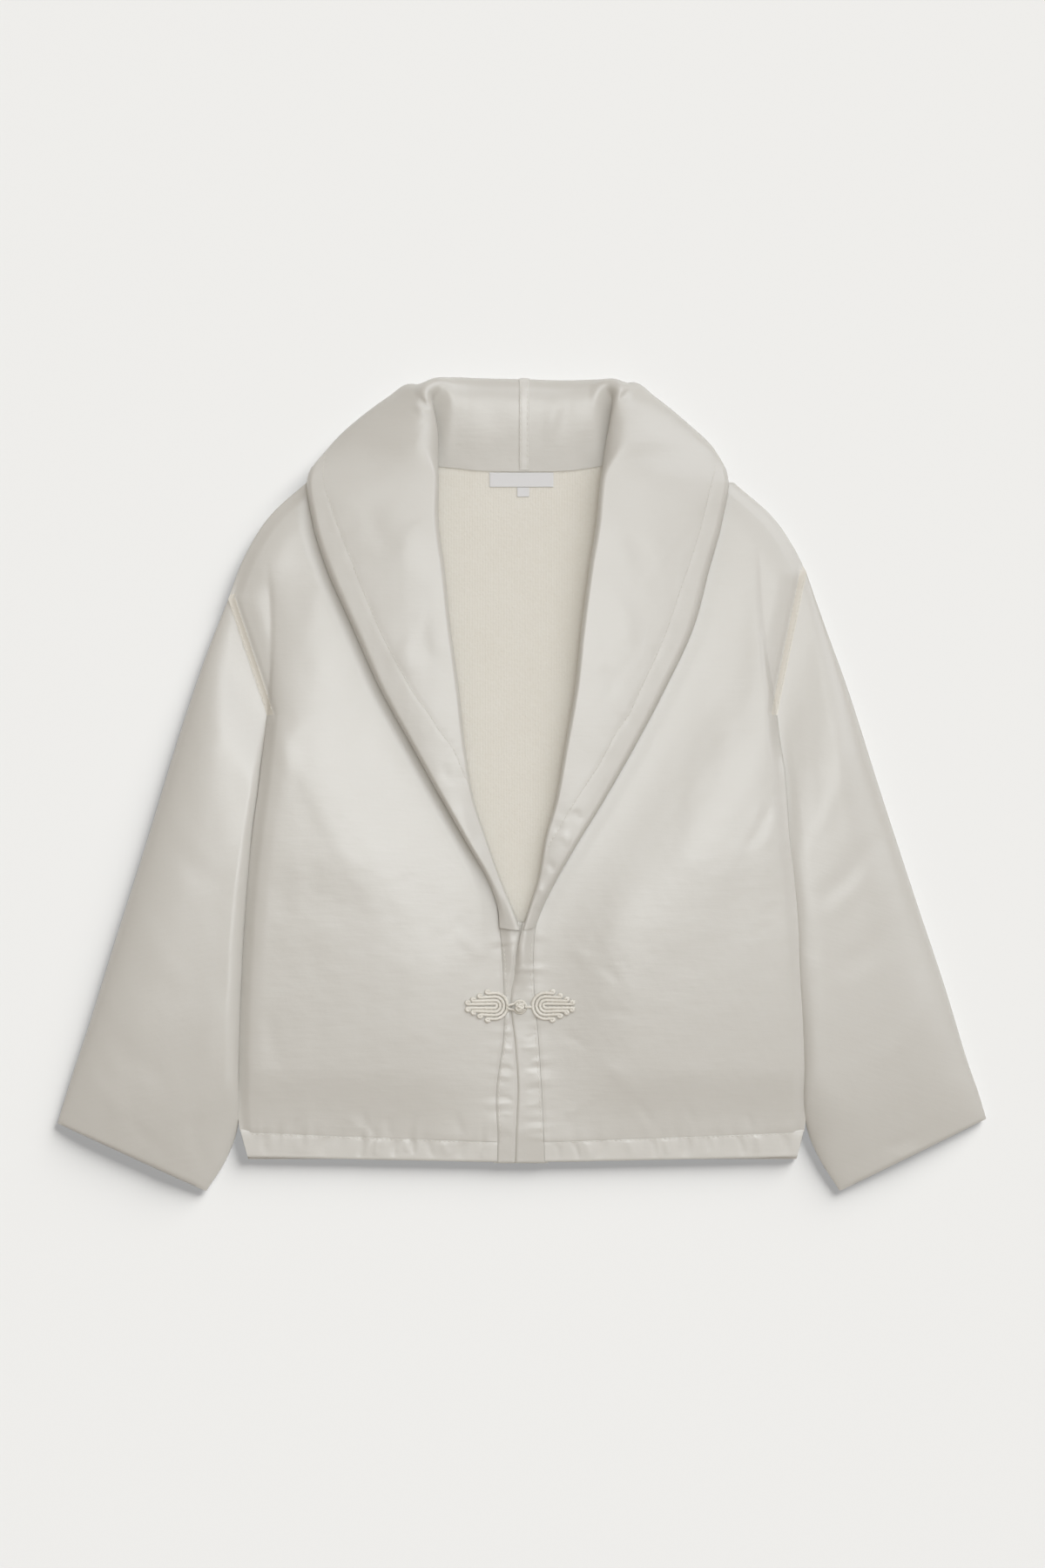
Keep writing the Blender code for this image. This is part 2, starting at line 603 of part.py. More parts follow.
def collar_surface(side, rows, steps):
    """Middle surface of a collar half, its wall, thin at the neck seam, and its tuck, as grids."""
    stations = [collar_points(row, side) for row in COLLAR[side]]
    sections = np.array([resample(points, steps=steps) for points in stations])
    thin = np.clip(1.0 - np.arange(sections.shape[1]) / steps[0], 0.0, 1.0)
    walls = np.array([[row.wall] for row in COLLAR[side]]) * (1.0 - SEAM_THIN * thin)
    tucks = np.repeat([[row.tuck] for row in COLLAR[side]], sections.shape[1], 1)
    grid = resample(np.concatenate([sections, walls[..., None], tucks[..., None]], -1), rows)
    return grid[..., :3], grid[..., 3:4], grid[..., 4]


def surface_normals(grid, side):
    along = np.gradient(grid, axis=0)
    over = np.gradient(grid, axis=1)
    normal = np.cross(along, over) * SIDES[side]
    return normal / np.linalg.norm(normal, axis=-1, keepdims=True)


def collar_half(side, rows=36):
    middle, wall, tuck = collar_surface(side, rows, COLLAR_STEPS)
    normal = surface_normals(middle, side)
    spans = np.linalg.norm(np.diff(middle, axis=1), axis=-1)
    to_edge = np.concatenate([spans[:, ::-1].cumsum(1)[:, ::-1], np.zeros((rows, 1))], 1)
    on_fall = ease(np.arange(middle.shape[1]), sum(COLLAR_STEPS[:3]), sum(COLLAR_STEPS[:4]))
    padding = EDGE_PADDING * on_fall * rise(to_edge, EDGE_PADDING_ROUND)
    padding *= (1.0 - ease(tuck, 0.0, EDGE_PADDING_TUCK)) * ease(middle[..., 1], *EDGE_PADDING_FROM)
    face = middle + (0.5 * wall + padding[..., None]) * normal
    return slab("collar_" + side, face, middle - 0.5 * wall * normal, SILK)


def collar_tape():
    """Double-stitched strip over the centre-back seam, on the stand from neck seam to fold."""
    middle, wall, _ = collar_surface("left", 60, TAPE_STEPS)
    line = middle[0] + surface_normals(middle, "left")[0] * (0.5 * wall[0] + SEAM_GAP)
    line = line[1:TAPE_STEPS[0] + TAPE_STEPS[1]]
    turn = np.gradient(line[:, 1:], axis=0)
    outward = np.stack([turn[:, 1], -turn[:, 0]], -1)
    outward /= np.linalg.norm(outward, axis=-1, keepdims=True)
    outward *= np.sign(outward[0, 1])
    half = 0.5 * TAPE_WIDTH
    low = np.stack([line, line], 1)
    low[:, :, 0] = TAPE_X - half, TAPE_X + half
    high = low.copy()
    high[..., 1:] += TAPE_WALL * outward[:, None]
    return slab("collar_tape", high, low, SILK)


def sleeve(side, rows=15, across_count=15):
    """Sleeve lying flat: a padded tube with a rounded top, a flat underside and a thin slit inside."""
    sections = resample(np.array(SLEEVE[side], float), rows)
    middles = 0.5 * (sections[:, :2] + sections[:, 2:4])
    set_in = np.concatenate([[0.0], np.linalg.norm(np.diff(middles, axis=0), axis=1).cumsum()])
    u = edge_spread(across_count)
    outer_rings, inner_rings = [], []
    for section, swell in zip(sections, rise(set_in, ARMHOLE_SWELL)):
        outer, inner = section[:2], section[2:4]
        crown = ARMHOLE_LOW + (section[4] - ARMHOLE_LOW) * swell
        outer_rings.append(sleeve_ring(side, outer, inner, crown, swell, u))
        inner_rings.append(slit_ring(outer, inner, crown, u))
    gap = np.array([ARMHOLE_GAP, 0.0, 0.0])
    outer_rings = (np.array(outer_rings) + gap) * np.array([SIDES[side], 1.0, 1.0])
    inner_rings = (np.array(inner_rings) + gap) * np.array([SIDES[side], 1.0, 1.0])
    return open_tube("sleeve_" + side, outer_rings, inner_rings, SILK)


def ring_points(start, end, u, top, bottom):
    over = start * (1.0 - u[:, None]) + end * u[:, None]
    back = over[::-1][1:-1]
    lower = np.column_stack([back, bottom[::-1][1:-1]])
    return np.concatenate([np.column_stack([over, top]), lower])


def sleeve_ring(side, outer, inner, crown, swell, u):
    """One section of a sleeve: rounded to its free edge, steeper where it lies against the body."""
    width = np.linalg.norm(inner - outer)
    free_edge = min(SLEEVE_EDGE_Z, SLEEVE_EDGE_SHARE * crown)
    beside_body = float(ease(inner[1], *SLEEVE_BODY_FADE)) * swell
    body_edge = free_edge + (SLEEVE_BODY_EDGE_Z[side] - free_edge) * beside_body
    body_round = SLEEVE_ROUND + (SLEEVE_BODY_ROUND[side] - SLEEVE_ROUND) * beside_body
    edge = free_edge * (1.0 - u) + body_edge * u
    swelling = rise(u * width, SLEEVE_ROUND) * rise((1.0 - u) * width, body_round)
    top = edge + (crown - edge) * swelling
    bottom = edge * (1.0 - rise(np.minimum(u, 1.0 - u) * width, SLEEVE_FLOOR_ROUND))
    return ring_points(outer, inner, u, top, bottom)


def slit_ring(outer, inner, crown, u):
    run = (inner - outer) / np.linalg.norm(inner - outer)
    start, end = outer + run * SLIT_INSET, inner - run * SLIT_INSET
    nearest = np.minimum(u, 1.0 - u) * np.linalg.norm(end - start)
    half = SLIT_END_HALF + (SLIT_HALF - SLIT_END_HALF) * rise(nearest, SLIT_ROUND)
    middle = SLIT_LEVEL * crown
    return ring_points(start, end, u, middle + half, middle - half)


def plate(name, centre, size, base, wall, stuff):
    x = centre[0] + np.array([-0.5, 0.5]) * size[0]
    y = centre[1] + np.array([-0.5, 0.5]) * size[1]
    plan = np.stack(np.meshgrid(x, y), -1)
    return slab(name, level(plan, base + wall), level(plan, base), stuff)


def ground_under(items):
    """Height of the topmost of the given objects at a plan point."""
    trees = [BVHTree.FromPolygons([v.co for v in item.data.vertices],
                                  [p.vertices for p in item.data.polygons]) for item in items]

    def height(x, y):
        start = Vector((x * MM, y * MM, 1.0))
        hits = [tree.ray_cast(start, Vector((0.0, 0.0, -1.0)))[0] for tree in trees]
        return max([hit.z / MM for hit in hits if hit] + [FRONT_BASE])

    return height


def frog_pad(side, end_x, ground, arc_steps=10, leg_steps=4):
    """Nested cord loops laid flat, closed round end to the front edge, legs stepped to a point."""
    sign = SIDES[side]
    offsets = [PAD_SLOT]
    ridge = [0.0]
    for inner, outer in zip(PAD_CORDS, PAD_CORDS[1:] + [None]):
        offsets += [inner.offset, 0.5 * (inner.offset + outer.offset) if outer else PAD_EDGE]
        ridge += [1.0, 0.0]
    offsets = np.array(offsets)
    legs = np.interp(offsets, [cord.offset for cord in PAD_CORDS], [cord.leg for cord in PAD_CORDS])
    centre_x = sign * (end_x + PAD_ARC_RADIUS)
    turns = np.linspace(90.0, 270.0, arc_steps)
    plan = []
    for leg in np.linspace(1.0, 0.0, leg_steps, endpoint=False):
        plan.append(np.stack([centre_x + sign * leg * legs, PAD_AXIS_Y + offsets], -1))
    for turn in np.radians(turns):
        plan.append(np.stack([centre_x + sign * offsets * math.cos(turn),
                              PAD_AXIS_Y + offsets * math.sin(turn)], -1))
    for leg in np.linspace(0.0, 1.0, leg_steps + 1)[1:]:
        plan.append(np.stack([centre_x + sign * leg * legs, PAD_AXIS_Y - offsets], -1))
    plan = np.array(plan)
    stops = np.linspace(end_x, end_x + PAD_ARC_RADIUS + PAD_CORDS[0].leg, 12)
    spread = np.linspace(-PAD_EDGE, PAD_EDGE, 9)
    seat = [max(ground(sign * stop, PAD_AXIS_Y + dy) for dy in spread) for stop in stops]
    base = np.interp(np.abs(plan[..., 0]), stops, seat) + PAD_CLEAR
    top = base + PAD_BASE + PAD_RIDGE * np.array(ridge)
    return slab("frog_pad_" + side, level(plan, top), level(plan, base), SATIN_CORD)


def cord(name, points):
    curve = bpy.data.curves.new(name, "CURVE")
    curve.dimensions = "3D"
    curve.bevel_depth = 0.5 * CORD_DIAMETER * MM
    curve.bevel_resolution = 2
    curve.use_fill_caps = True
    spline = curve.splines.new("POLY")
    spline.points.add(len(points) - 1)
    for point, place in zip(spline.points, points):
        point.co = (*(np.asarray(place) * MM), 1.0)
    return link_object(name, curve, SATIN_CORD)


def frog_knot(base):
    """Knot button, a ball of woven cord a little flattened."""
    mesh = bpy.data.meshes.new("frog_knot")
    shape = bmesh.new()
    bmesh.ops.create_uvsphere(shape, u_segments=16, v_segments=9, radius=KNOT_RADIUS * MM)
    bmesh.ops.scale(shape, vec=(1.0, 1.0, KNOT_FLATTEN), verts=shape.verts)
    centre = Vector((*KNOT_CENTRE, base + KNOT_FLATTEN * KNOT_RADIUS)) * MM
    bmesh.ops.translate(shape, verts=shape.verts, vec=centre)
    shape.to_mesh(mesh)
    shape.free()
    return link_object("frog_knot", mesh, SATIN_CORD)


def build():
    for item in list(bpy.data.objects):
        bpy.data.objects.remove(item, do_unlink=True)
    back_sheet("back_panel", 0.0, 0.0, 0.0, BACK_WALL, SILK)
    back_sheet("back_lining", LINING_SIDE_INSET, LINING_HEM_INSET, LINING_BASE, LINING_WALL, KNIT)
    fronts = []
    for side in SIDES:
        fronts.append(front_panel(side))
        hem_band(side)
        fronts.append(front_band(side))
        sleeve(side)
        collar_half(side)
    collar_tape()
    label_base = LINING_TOP + SEAM_GAP
    plate("neck_label", LABEL_CENTRE, LABEL_SIZE, label_base, LABEL_WALL, LABEL)
    plate("size_tab", TAB_CENTRE, TAB_SIZE, label_base, LABEL_WALL, LABEL)
    ground = ground_under(fronts)
    frog_pad("right", PAD_RIGHT_END, ground)
    frog_pad("left", PAD_LEFT_END, ground)
    seat = FRONT_BASE + FLAT_WALL + KNOT_CLEAR
    frog_knot(seat)
    radius = KNOT_RADIUS + 0.5 * CORD_DIAMETER + LOOP_CLEAR
    turns = np.radians(np.linspace(LOOP_OPEN, -LOOP_OPEN, 19))
    loop = [(KNOT_CENTRE[0] + radius * math.cos(t), KNOT_CENTRE[1] + radius * math.sin(t),
             seat + 0.5 * CORD_DIAMETER) for t in turns]
    cord("frog_loop", loop)
    stem_z = seat + 1.5 * CORD_DIAMETER + STEM_CLEAR
    cord("frog_stem", [(KNOT_CENTRE[0] + KNOT_RADIUS + KNOT_CLEAR, KNOT_CENTRE[1], stem_z),
                       (PAD_LEFT_END + STEM_OVERLAP, KNOT_CENTRE[1], stem_z + STEM_CLEAR)])


build()
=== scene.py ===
import json
import math
from collections import namedtuple

import bmesh
import bpy
import numpy as np
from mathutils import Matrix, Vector
from mathutils.bvhtree import BVHTree

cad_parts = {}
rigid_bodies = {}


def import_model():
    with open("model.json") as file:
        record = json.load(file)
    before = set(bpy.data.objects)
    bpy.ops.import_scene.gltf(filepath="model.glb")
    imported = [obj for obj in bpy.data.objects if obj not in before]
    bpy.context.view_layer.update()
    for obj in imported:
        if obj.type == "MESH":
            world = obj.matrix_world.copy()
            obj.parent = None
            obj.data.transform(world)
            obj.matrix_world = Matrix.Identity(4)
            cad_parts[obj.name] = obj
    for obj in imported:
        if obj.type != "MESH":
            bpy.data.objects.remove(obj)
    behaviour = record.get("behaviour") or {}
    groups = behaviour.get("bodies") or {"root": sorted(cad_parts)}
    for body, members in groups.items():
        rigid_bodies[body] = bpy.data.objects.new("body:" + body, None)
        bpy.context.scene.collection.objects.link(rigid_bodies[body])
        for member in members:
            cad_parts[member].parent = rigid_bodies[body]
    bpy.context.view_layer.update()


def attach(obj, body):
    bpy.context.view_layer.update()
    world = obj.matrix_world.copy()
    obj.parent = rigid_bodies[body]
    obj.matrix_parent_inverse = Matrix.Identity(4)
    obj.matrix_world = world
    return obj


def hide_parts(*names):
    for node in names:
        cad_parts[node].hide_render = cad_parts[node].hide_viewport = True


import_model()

MM = 0.001
SIDES = {"right": -1.0, "left": 1.0}
BACK_WALL = 6.5
BACK_EDGE_ROUND = 7.0
BACK_EDGE_DROP = 2.4
HEM_BOTTOM = -343.0
NECK_Y = 287.0
NECK_OUTER = 160.0
NECK_EASE = 60.0
BACK_ROWS = (90, 24, 30)
BACK_COLUMNS = 110
EDGE_CROWDING = 0.85
CLOTH_CREASE = 55.0

# Distance of the side seam from the centre line, hem to underarm
SideSeam = namedtuple("SideSeam", "y right left")
SIDE_SEAM = [
    SideSeam(-343, 251, 252), SideSeam(-318, 258, 258.5), SideSeam(-259, 260, 259),
    SideSeam(-183, 258, 256), SideSeam(-115, 254, 252), SideSeam(-47, 247, 244.5),
    SideSeam(9, 239.5, 240), SideSeam(64, 233.5, 234),
]
Shoulder = namedtuple("Shoulder", "right_x right_y left_x left_y")
UNDERARM_Y = 64.0
ARMHOLE = [Shoulder(233.5, UNDERARM_Y, 234, UNDERARM_Y), Shoulder(269, 170, 261, 194)]
SHOULDER = [
    Shoulder(269, 170, 261, 194), Shoulder(254, 209, 248, 219), Shoulder(231, 246, 230, 245),
    Shoulder(196, 278, 194, 277),
]


def through(knots, values, at):
    """Smooth curve through the values at their knots, read at other knots."""
    knots = np.asarray(knots, float)
    values = np.asarray(values, float)
    slopes = np.gradient(values, knots, axis=0)
    at = np.atleast_1d(np.asarray(at, float))
    span = np.clip(np.searchsorted(knots, at) - 1, 0, len(knots) - 2)
    width = knots[span + 1] - knots[span]
    t = (at - knots[span]) / width
    shape = t.shape + (1,) * (values.ndim - 1)
    t, width = t.reshape(shape), width.reshape(shape)
    return ((2 * t**3 - 3 * t**2 + 1) * values[span] + (t**3 - 2 * t**2 + t) * width * slopes[span]
            + (3 * t**2 - 2 * t**3) * values[span + 1] + (t**3 - t**2) * width * slopes[span + 1])


def resample(points, count=0, steps=()):
    """Points along a smooth curve through the given ones: a count in all, or steps for each span."""
    points = np.asarray(points, float)
    flat = points.reshape(len(points), -1)
    chords = np.sqrt(np.linalg.norm(np.diff(flat, axis=0), axis=1))
    knots = np.concatenate([[0.0], np.cumsum(chords)])
    at = np.linspace(0.0, knots[-1], count)
    if steps:
        spans = [np.linspace(a, b, n, endpoint=False) for a, b, n in zip(knots, knots[1:], steps)]
        at = np.concatenate(spans + [knots[-1:]])
    return through(knots, points, at)


def across(table, side, y):
    """Distance from the centre line that a table gives for one side at y."""
    rows = sorted(table)
    knots = [row.y for row in rows]
    y = np.asarray(y, float)
    values = [getattr(row, side) for row in rows]
    return through(knots, values, np.clip(y.ravel(), knots[0], knots[-1])).reshape(y.shape)


def ease(value, low, high):
    q = np.clip((np.asarray(value, float) - low) / (high - low), 0.0, 1.0)
    return q * q * (3.0 - 2.0 * q)


def rise(distance, reach):
    """Quarter-ellipse from 0 at an edge to 1 at the reach."""
    q = np.clip(np.asarray(distance, float) / reach, 0.0, 1.0)
    return np.sqrt(1.0 - (1.0 - q) ** 2)


def shoulder_points(table, side):
    return np.array([(getattr(row, side + "_x"), getattr(row, side + "_y")) for row in table], float)


def body_outline(side, counts):
    """Side seam, armhole and shoulder edge of one side, from hem to collar."""
    y = np.linspace(HEM_BOTTOM, UNDERARM_Y, counts[0])
    seam = np.stack([across(SIDE_SEAM, side, y), y], -1)
    armhole = resample(shoulder_points(ARMHOLE, side), counts[1])
    shoulder = resample(shoulder_points(SHOULDER, side), counts[2])
    return np.concatenate([seam, armhole[1:], shoulder[1:]])


def edge_spread(count, crowding=EDGE_CROWDING):
    """Fractions across a panel, closer together at its edges."""
    t = np.linspace(0.0, 1.0, count)
    return t + crowding * (0.5 - 0.5 * np.cos(np.pi * t) - t)


def signed(plan, side):
    return plan * np.array([SIDES[side], 1.0])


def level(plan, z):
    heights = np.broadcast_to(np.asarray(z, float), plan.shape[:2])
    return np.concatenate([plan, heights[..., None]], -1)


def grid_faces(rows, columns, start=0, wrap=False):
    faces = []
    for row in range(rows - 1):
        for column in range(columns if wrap else columns - 1):
            beside = (column + 1) % columns
            low = start + row * columns
            faces.append((low + column, low + beside, low + columns + beside, low + columns + column))
    return faces


def cloth(name, points, faces, material, sharp=CLOTH_CREASE):
    """Mesh piece from points in millimetres, smooth but for its sharp edges."""
    mesh = bpy.data.meshes.new(name)
    mesh.from_pydata((np.asarray(points, float) * MM).tolist(), [], faces)
    shape = bmesh.new()
    shape.from_mesh(mesh)
    bmesh.ops.recalc_face_normals(shape, faces=shape.faces)
    shape.to_mesh(mesh)
    shape.free()
    mesh.shade_smooth()
    mesh.set_sharp_from_angle(angle=math.radians(sharp))
    mesh.materials.append(material)
    piece = bpy.data.objects.new(name, mesh)
    bpy.context.collection.objects.link(piece)
    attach(piece, "root")
    return piece


def slab_parts(top, bottom):
    """Points and faces of a closed wall between two grids of points."""
    rows, columns = top.shape[:2]
    under = rows * columns
    faces = grid_faces(rows, columns) + [f[::-1] for f in grid_faces(rows, columns, under)]
    border = list(range(columns))
    border += [row * columns + columns - 1 for row in range(1, rows)]
    border += [(rows - 1) * columns + column for column in range(columns - 2, -1, -1)]
    border += [row * columns for row in range(rows - 2, 0, -1)]
    for here, following in zip(border, border[1:] + border[:1]):
        faces.append((here, here + under, following + under, following))
    return np.concatenate([top.reshape(-1, 3), bottom.reshape(-1, 3)]), faces


class Wire:
    """One output of a material's node, so that sums on it read as sums."""

    def __init__(self, tree, socket=None):
        self.tree = tree
        self.socket = socket

    def node(self, kind, settings, sockets, output=0):
        made = self.tree.nodes.new(kind)
        for name, value in settings.items():
            setattr(made, name, value)
        for name, value in sockets.items():
            if isinstance(value, Wire):
                self.tree.links.new(value.socket, made.inputs[name])
            else:
                made.inputs[name].default_value = value
        return Wire(self.tree, made.outputs[output])

    def sum(self, operation, first, second):
        return self.node("ShaderNodeMath", {"operation": operation}, {0: first, 1: second})

    def __add__(self, other):
        return self.sum("ADD", self, other)

    def __radd__(self, other):
        return self.sum("ADD", other, self)

    def __sub__(self, other):
        return self.sum("SUBTRACT", self, other)

    def __rsub__(self, other):
        return self.sum("SUBTRACT", other, self)

    def __mul__(self, other):
        return self.sum("MULTIPLY", self, other)

    def __rmul__(self, other):
        return self.sum("MULTIPLY", other, self)

    def tint(self, factor, first, second):
        """Mix of two colours. The mix node has them at sockets 6 and 7 and gives a colour at 2."""
        return self.node("ShaderNodeMix", {"data_type": "RGBA"},
                         {"Factor": factor, 6: first, 7: second}, 2)

    def noise(self, place, scale, detail=2.0):
        return self.node("ShaderNodeTexNoise", {}, {"Vector": place, "Scale": scale, "Detail": detail})

    def bump(self, height, strength, distance, **more):
        return self.node("ShaderNodeBump", {},
                         {"Height": height, "Strength": strength, "Distance": distance, **more})

    def into(self, shader, name):
        self.tree.links.new(self.socket, shader.inputs[name])


def new_finish(name):
    """A new material, its shader, a first wire in it and the place on the object."""
    material = bpy.data.materials.new(name)
    material.use_nodes = True
    start = Wire(material.node_tree)
    place = start.node("ShaderNodeTexCoord", {}, {}, "Object")
    return material, material.node_tree.nodes["Principled BSDF"], start, place


FLOATS_PER_M = (2600.0, 420.0, 900.0)
SLUBS_PER_M = (45.0, 260.0, 60.0)
RUMPLES_PER_M = 55.0
SHADES_PER_M = 7.0
PADDED_CRINKLE = 0.35
FLAT_CRINKLE = 0.3
IVORY = (0.606, 0.593, 0.555, 1.0)
IVORY_SHADE = (0.570, 0.551, 0.508, 1.0)
# Lighter copy of the ivory: a painted sheen for the flat hem bands and tape
IVORY_PAINTED_SHEEN = (0.700, 0.687, 0.648, 1.0)


def silk_satin(name, colour, shade, turn=0.0, crinkle=PADDED_CRINKLE):
    """Heavy silk satin: a soft broad gloss, floats of thread along the cloth and faint crinkles."""
    material, shader, start, place = new_finish(name)
    shader.inputs["Specular IOR Level"].default_value = 0.85
    shader.inputs["Coat Roughness"].default_value = 0.3
    along = start.node("ShaderNodeMapping", {}, {"Vector": place, "Rotation": (0.0, 0.0, turn)})
    threads = start.node("ShaderNodeMapping", {}, {"Vector": along, "Scale": FLOATS_PER_M})
    floats = start.noise(threads, 1.0, 1.0)
    thick_threads = start.node("ShaderNodeMapping", {}, {"Vector": along, "Scale": SLUBS_PER_M})
    slubs = start.noise(thick_threads, 1.0, 3.0)
    rumple = start.noise(along, RUMPLES_PER_M, 3.0)
    broad = start.noise(along, SHADES_PER_M, 2.0)
    start.tint(broad * 0.6 + slubs * 0.25 + floats * 0.15, shade, colour).into(shader, "Base Color")
    (0.33 + slubs * 0.08 + floats * 0.06).into(shader, "Roughness")
    (0.28 + broad * 0.12).into(shader, "Coat Weight")
    weave = start.bump(floats, 0.12, 0.0002)
    start.bump(rumple * 0.7 + slubs * 0.3, crinkle, 0.0012, Normal=weave).into(shader, "Normal")
    return material


silk = silk_satin("silk satin", IVORY, IVORY_SHADE)
# The flat hem bands and the tape get a lighter copy of the same satin: a painted sheen, brighter than
# the padded satin under the same light
sheen_painted_silk = silk_satin("silk satin, unpadded, painted sheen", IVORY_PAINTED_SHEEN, IVORY, crinkle=FLAT_CRINKLE)


def back_plan(side_inset, hem_inset, neck_y):
    """Plan of a layer of the back, drawn in at the sides and the hem, up to the neck."""
    right = signed(body_outline("right", BACK_ROWS), "right")
    left = signed(body_outline("left", BACK_ROWS), "left")
    u = edge_spread(BACK_COLUMNS)[None, :, None]
    plan = right[:, None] * (1.0 - u) + left[:, None] * u
    reach = np.abs(plan[:, :1, 0]) * (1.0 - u[..., 0]) + np.abs(plan[:, -1:, 0]) * u[..., 0]
    plan[..., 0] *= 1.0 - side_inset / reach
    plan[0, :, 1] += hem_inset
    top = plan[-1]
    top[:, 1] += (neck_y - top[:, 1]) * ease(NECK_OUTER - np.abs(top[:, 0]), 0.0, NECK_EASE)
    return plan


plan = back_plan(0.0, 0.0, NECK_Y)
across_in = np.minimum(plan[..., 0] - plan[:, :1, 0], plan[:, -1:, 0] - plan[..., 0])
turned = BACK_EDGE_DROP * (1.0 - rise(np.minimum(across_in, plan[..., 1] - HEM_BOTTOM), BACK_EDGE_ROUND))
back_panel = cloth("back_panel_silk",
                   *slab_parts(level(plan, BACK_WALL - turned), level(plan, turned)), silk)
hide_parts("back_panel")

# Back lining: a soft knit with a brushed face and fine ribs from neck to hem. It is sewn in at the
# neck seam and shows only in the opening between the two collar halves.
SEAM_GAP = 0.3
LINING_WALL = 1.8
LINING_SIDE_INSET = 19.6
LINING_HEM_INSET = 18.2
LINING_NECK_TURN = 6.0
LINING_BASE = BACK_WALL + SEAM_GAP
LINING_SEED = 11
WAVE_COUNT = 9
WAVE_STRETCH = (0.7, 2.0)
Unevenness = namedtuple("Unevenness", "height length")
LINING_WAVES = Unevenness(0.12, 60.0)
KNIT = (0.755, 0.738, 0.682, 1.0)
KNIT_SHADE = (0.668, 0.630, 0.550, 1.0)


def waves(x, y, seed, size):
    """Gentle unevenness of lying cloth: slow waves in several directions."""
    chance = np.random.default_rng(seed)
    total = np.zeros_like(x)
    for turn, phase, stretch in zip(chance.uniform(0.0, math.pi, WAVE_COUNT),
                                    chance.uniform(0.0, 2.0 * math.pi, WAVE_COUNT),
                                    chance.uniform(*WAVE_STRETCH, WAVE_COUNT)):
        along = x * math.cos(turn) + y * math.sin(turn)
        total += np.sin(2.0 * math.pi * along / (size.length * stretch) + phase)
    return size.height * total * math.sqrt(2.0) / WAVE_COUNT


knit, shader, start, place = new_finish("brushed knit")
shader.inputs["Sheen Weight"].default_value = 0.35
shader.inputs["Sheen Roughness"].default_value = 0.6
nap = start.noise(place, 420.0, 3.0)
patches = start.noise(place, 38.0, 4.0)
ribs = start.node("ShaderNodeTexWave", {"bands_direction": "X"},
                  {"Vector": place, "Scale": 130.0, "Distortion": 1.2, "Detail": 1.0}, 1)
start.tint(nap * 0.6 + patches * 0.34 + ribs * 0.06, KNIT_SHADE, KNIT).into(shader, "Base Color")
(0.86 + nap * 0.12).into(shader, "Roughness")
start.bump(nap * 0.6 + ribs * 0.12 + patches * 0.28, 0.7, 0.0008).into(shader, "Normal")

plan = back_plan(LINING_SIDE_INSET, LINING_HEM_INSET, NECK_Y + LINING_NECK_TURN)
lie = waves(plan[..., 0], plan[..., 1], LINING_SEED, LINING_WAVES)
back_lining = cloth("back_lining_knit", *slab_parts(level(plan, LINING_BASE + LINING_WALL + lie),
                                                    level(plan, LINING_BASE)), knit)
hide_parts("back_lining")

# Fronts: two padded panels of the same satin, wadding inside, sewn to the back at side and shoulder.
# They swell from their seams, are fullest below the chest, and turn down over the armholes.
LINING_TOP = LINING_BASE + LINING_WALL
FRONT_BASE = LINING_TOP + SEAM_GAP
LINING_STEP = (2.0, 12.0)
FLAT_WALL = 3.0
NECK_FULLNESS = 1.2
FRONT_HEM = -326.5
SIDE_HEM = -317.5
UNDERARM_ROW = 70.0
SHOULDER_ROW = 205.0
TOP_ROW = 283.0
FRONT_ROWS = (130, 34, 30)
FRONT_COLUMNS = 116
SIDE_ROUND = {"right": 24.0, "left": 18.0}
SIDE_EDGE = {"right": (0.1, 0.5), "left": (0.85, 0.9)}
SIDE_EDGE_TURN = (-130.0, -30.0)
FOLD_KEPT = {"right": 0.3, "left": 0.55}
WEDGE_ROUND = 26.0
SIDE_EDGE_FADE = (10.0, 64.0)
SHOULDER_ROUND = 38.0
BAND_ROUND = 80.0
BAND_ROLLED = {"right": 0.5, "left": 0.0}
HEM_ROUND = 60.0
HEM_ROLLED = 0.3
COLLAR_LEDGE = 6.0
COLLAR_VALLEY = 110.0
COLLAR_STEP = {"right": 3.5, "left": 1.0}
COLLAR_STEP_SPAN = (1.0, 15.0)
COLLAR_SLANT = 0.87
COLLAR_FROM = (-220.0, -40.0)
FULLNESS_FROM = (-120.0, -60.0)
FULLNESS_ROUND = 30.0
HEM_DIP = 9.0
HEM_DIP_SPAN = (120.0, 240.0)
OUTLINE_STEPS = (60, 10, 14)
SEAM_STEPS = 24
BAND_SEAM_TOP = -134.0
BAND_SEAM_STEPS = 40
FRONT_SEED = {"right": 21, "left": 31}
FRONT_WAVES = Unevenness(0.35, 55.0)
FRONT_RIPPLES = Unevenness(0.12, 17.0)
FULL_INSIDE = 0.5
CREASE_FADE = 6.0
THINNEST = 1.0
STRIP_WIDTH = 6.5
STRIP_HEIGHT = 0.6
STRIP_EDGE = (-1.0, 0.6)
Gathers = namedtuple("Gathers", "depth reach spacing sink sink_width")
HEM_GATHERS = Gathers(0.9, 11.0, 5.5, 0.3, 2.0)
BAND_GATHERS = Gathers(0.8, 9.0, 4.5, 0.25, 2.0)
ARMHOLE_GATHERS = Gathers(0.35, STRIP_WIDTH, 4.0, 0.0, 1.0)
GATHER_SPACING = (0.45, 1.7)
GATHER_SIZE = (0.2, 1.0)
SEAM_IVORY = (0.680, 0.650, 0.585, 1.0)
SEAM_IVORY_SHADE = (0.640, 0.605, 0.530, 1.0)

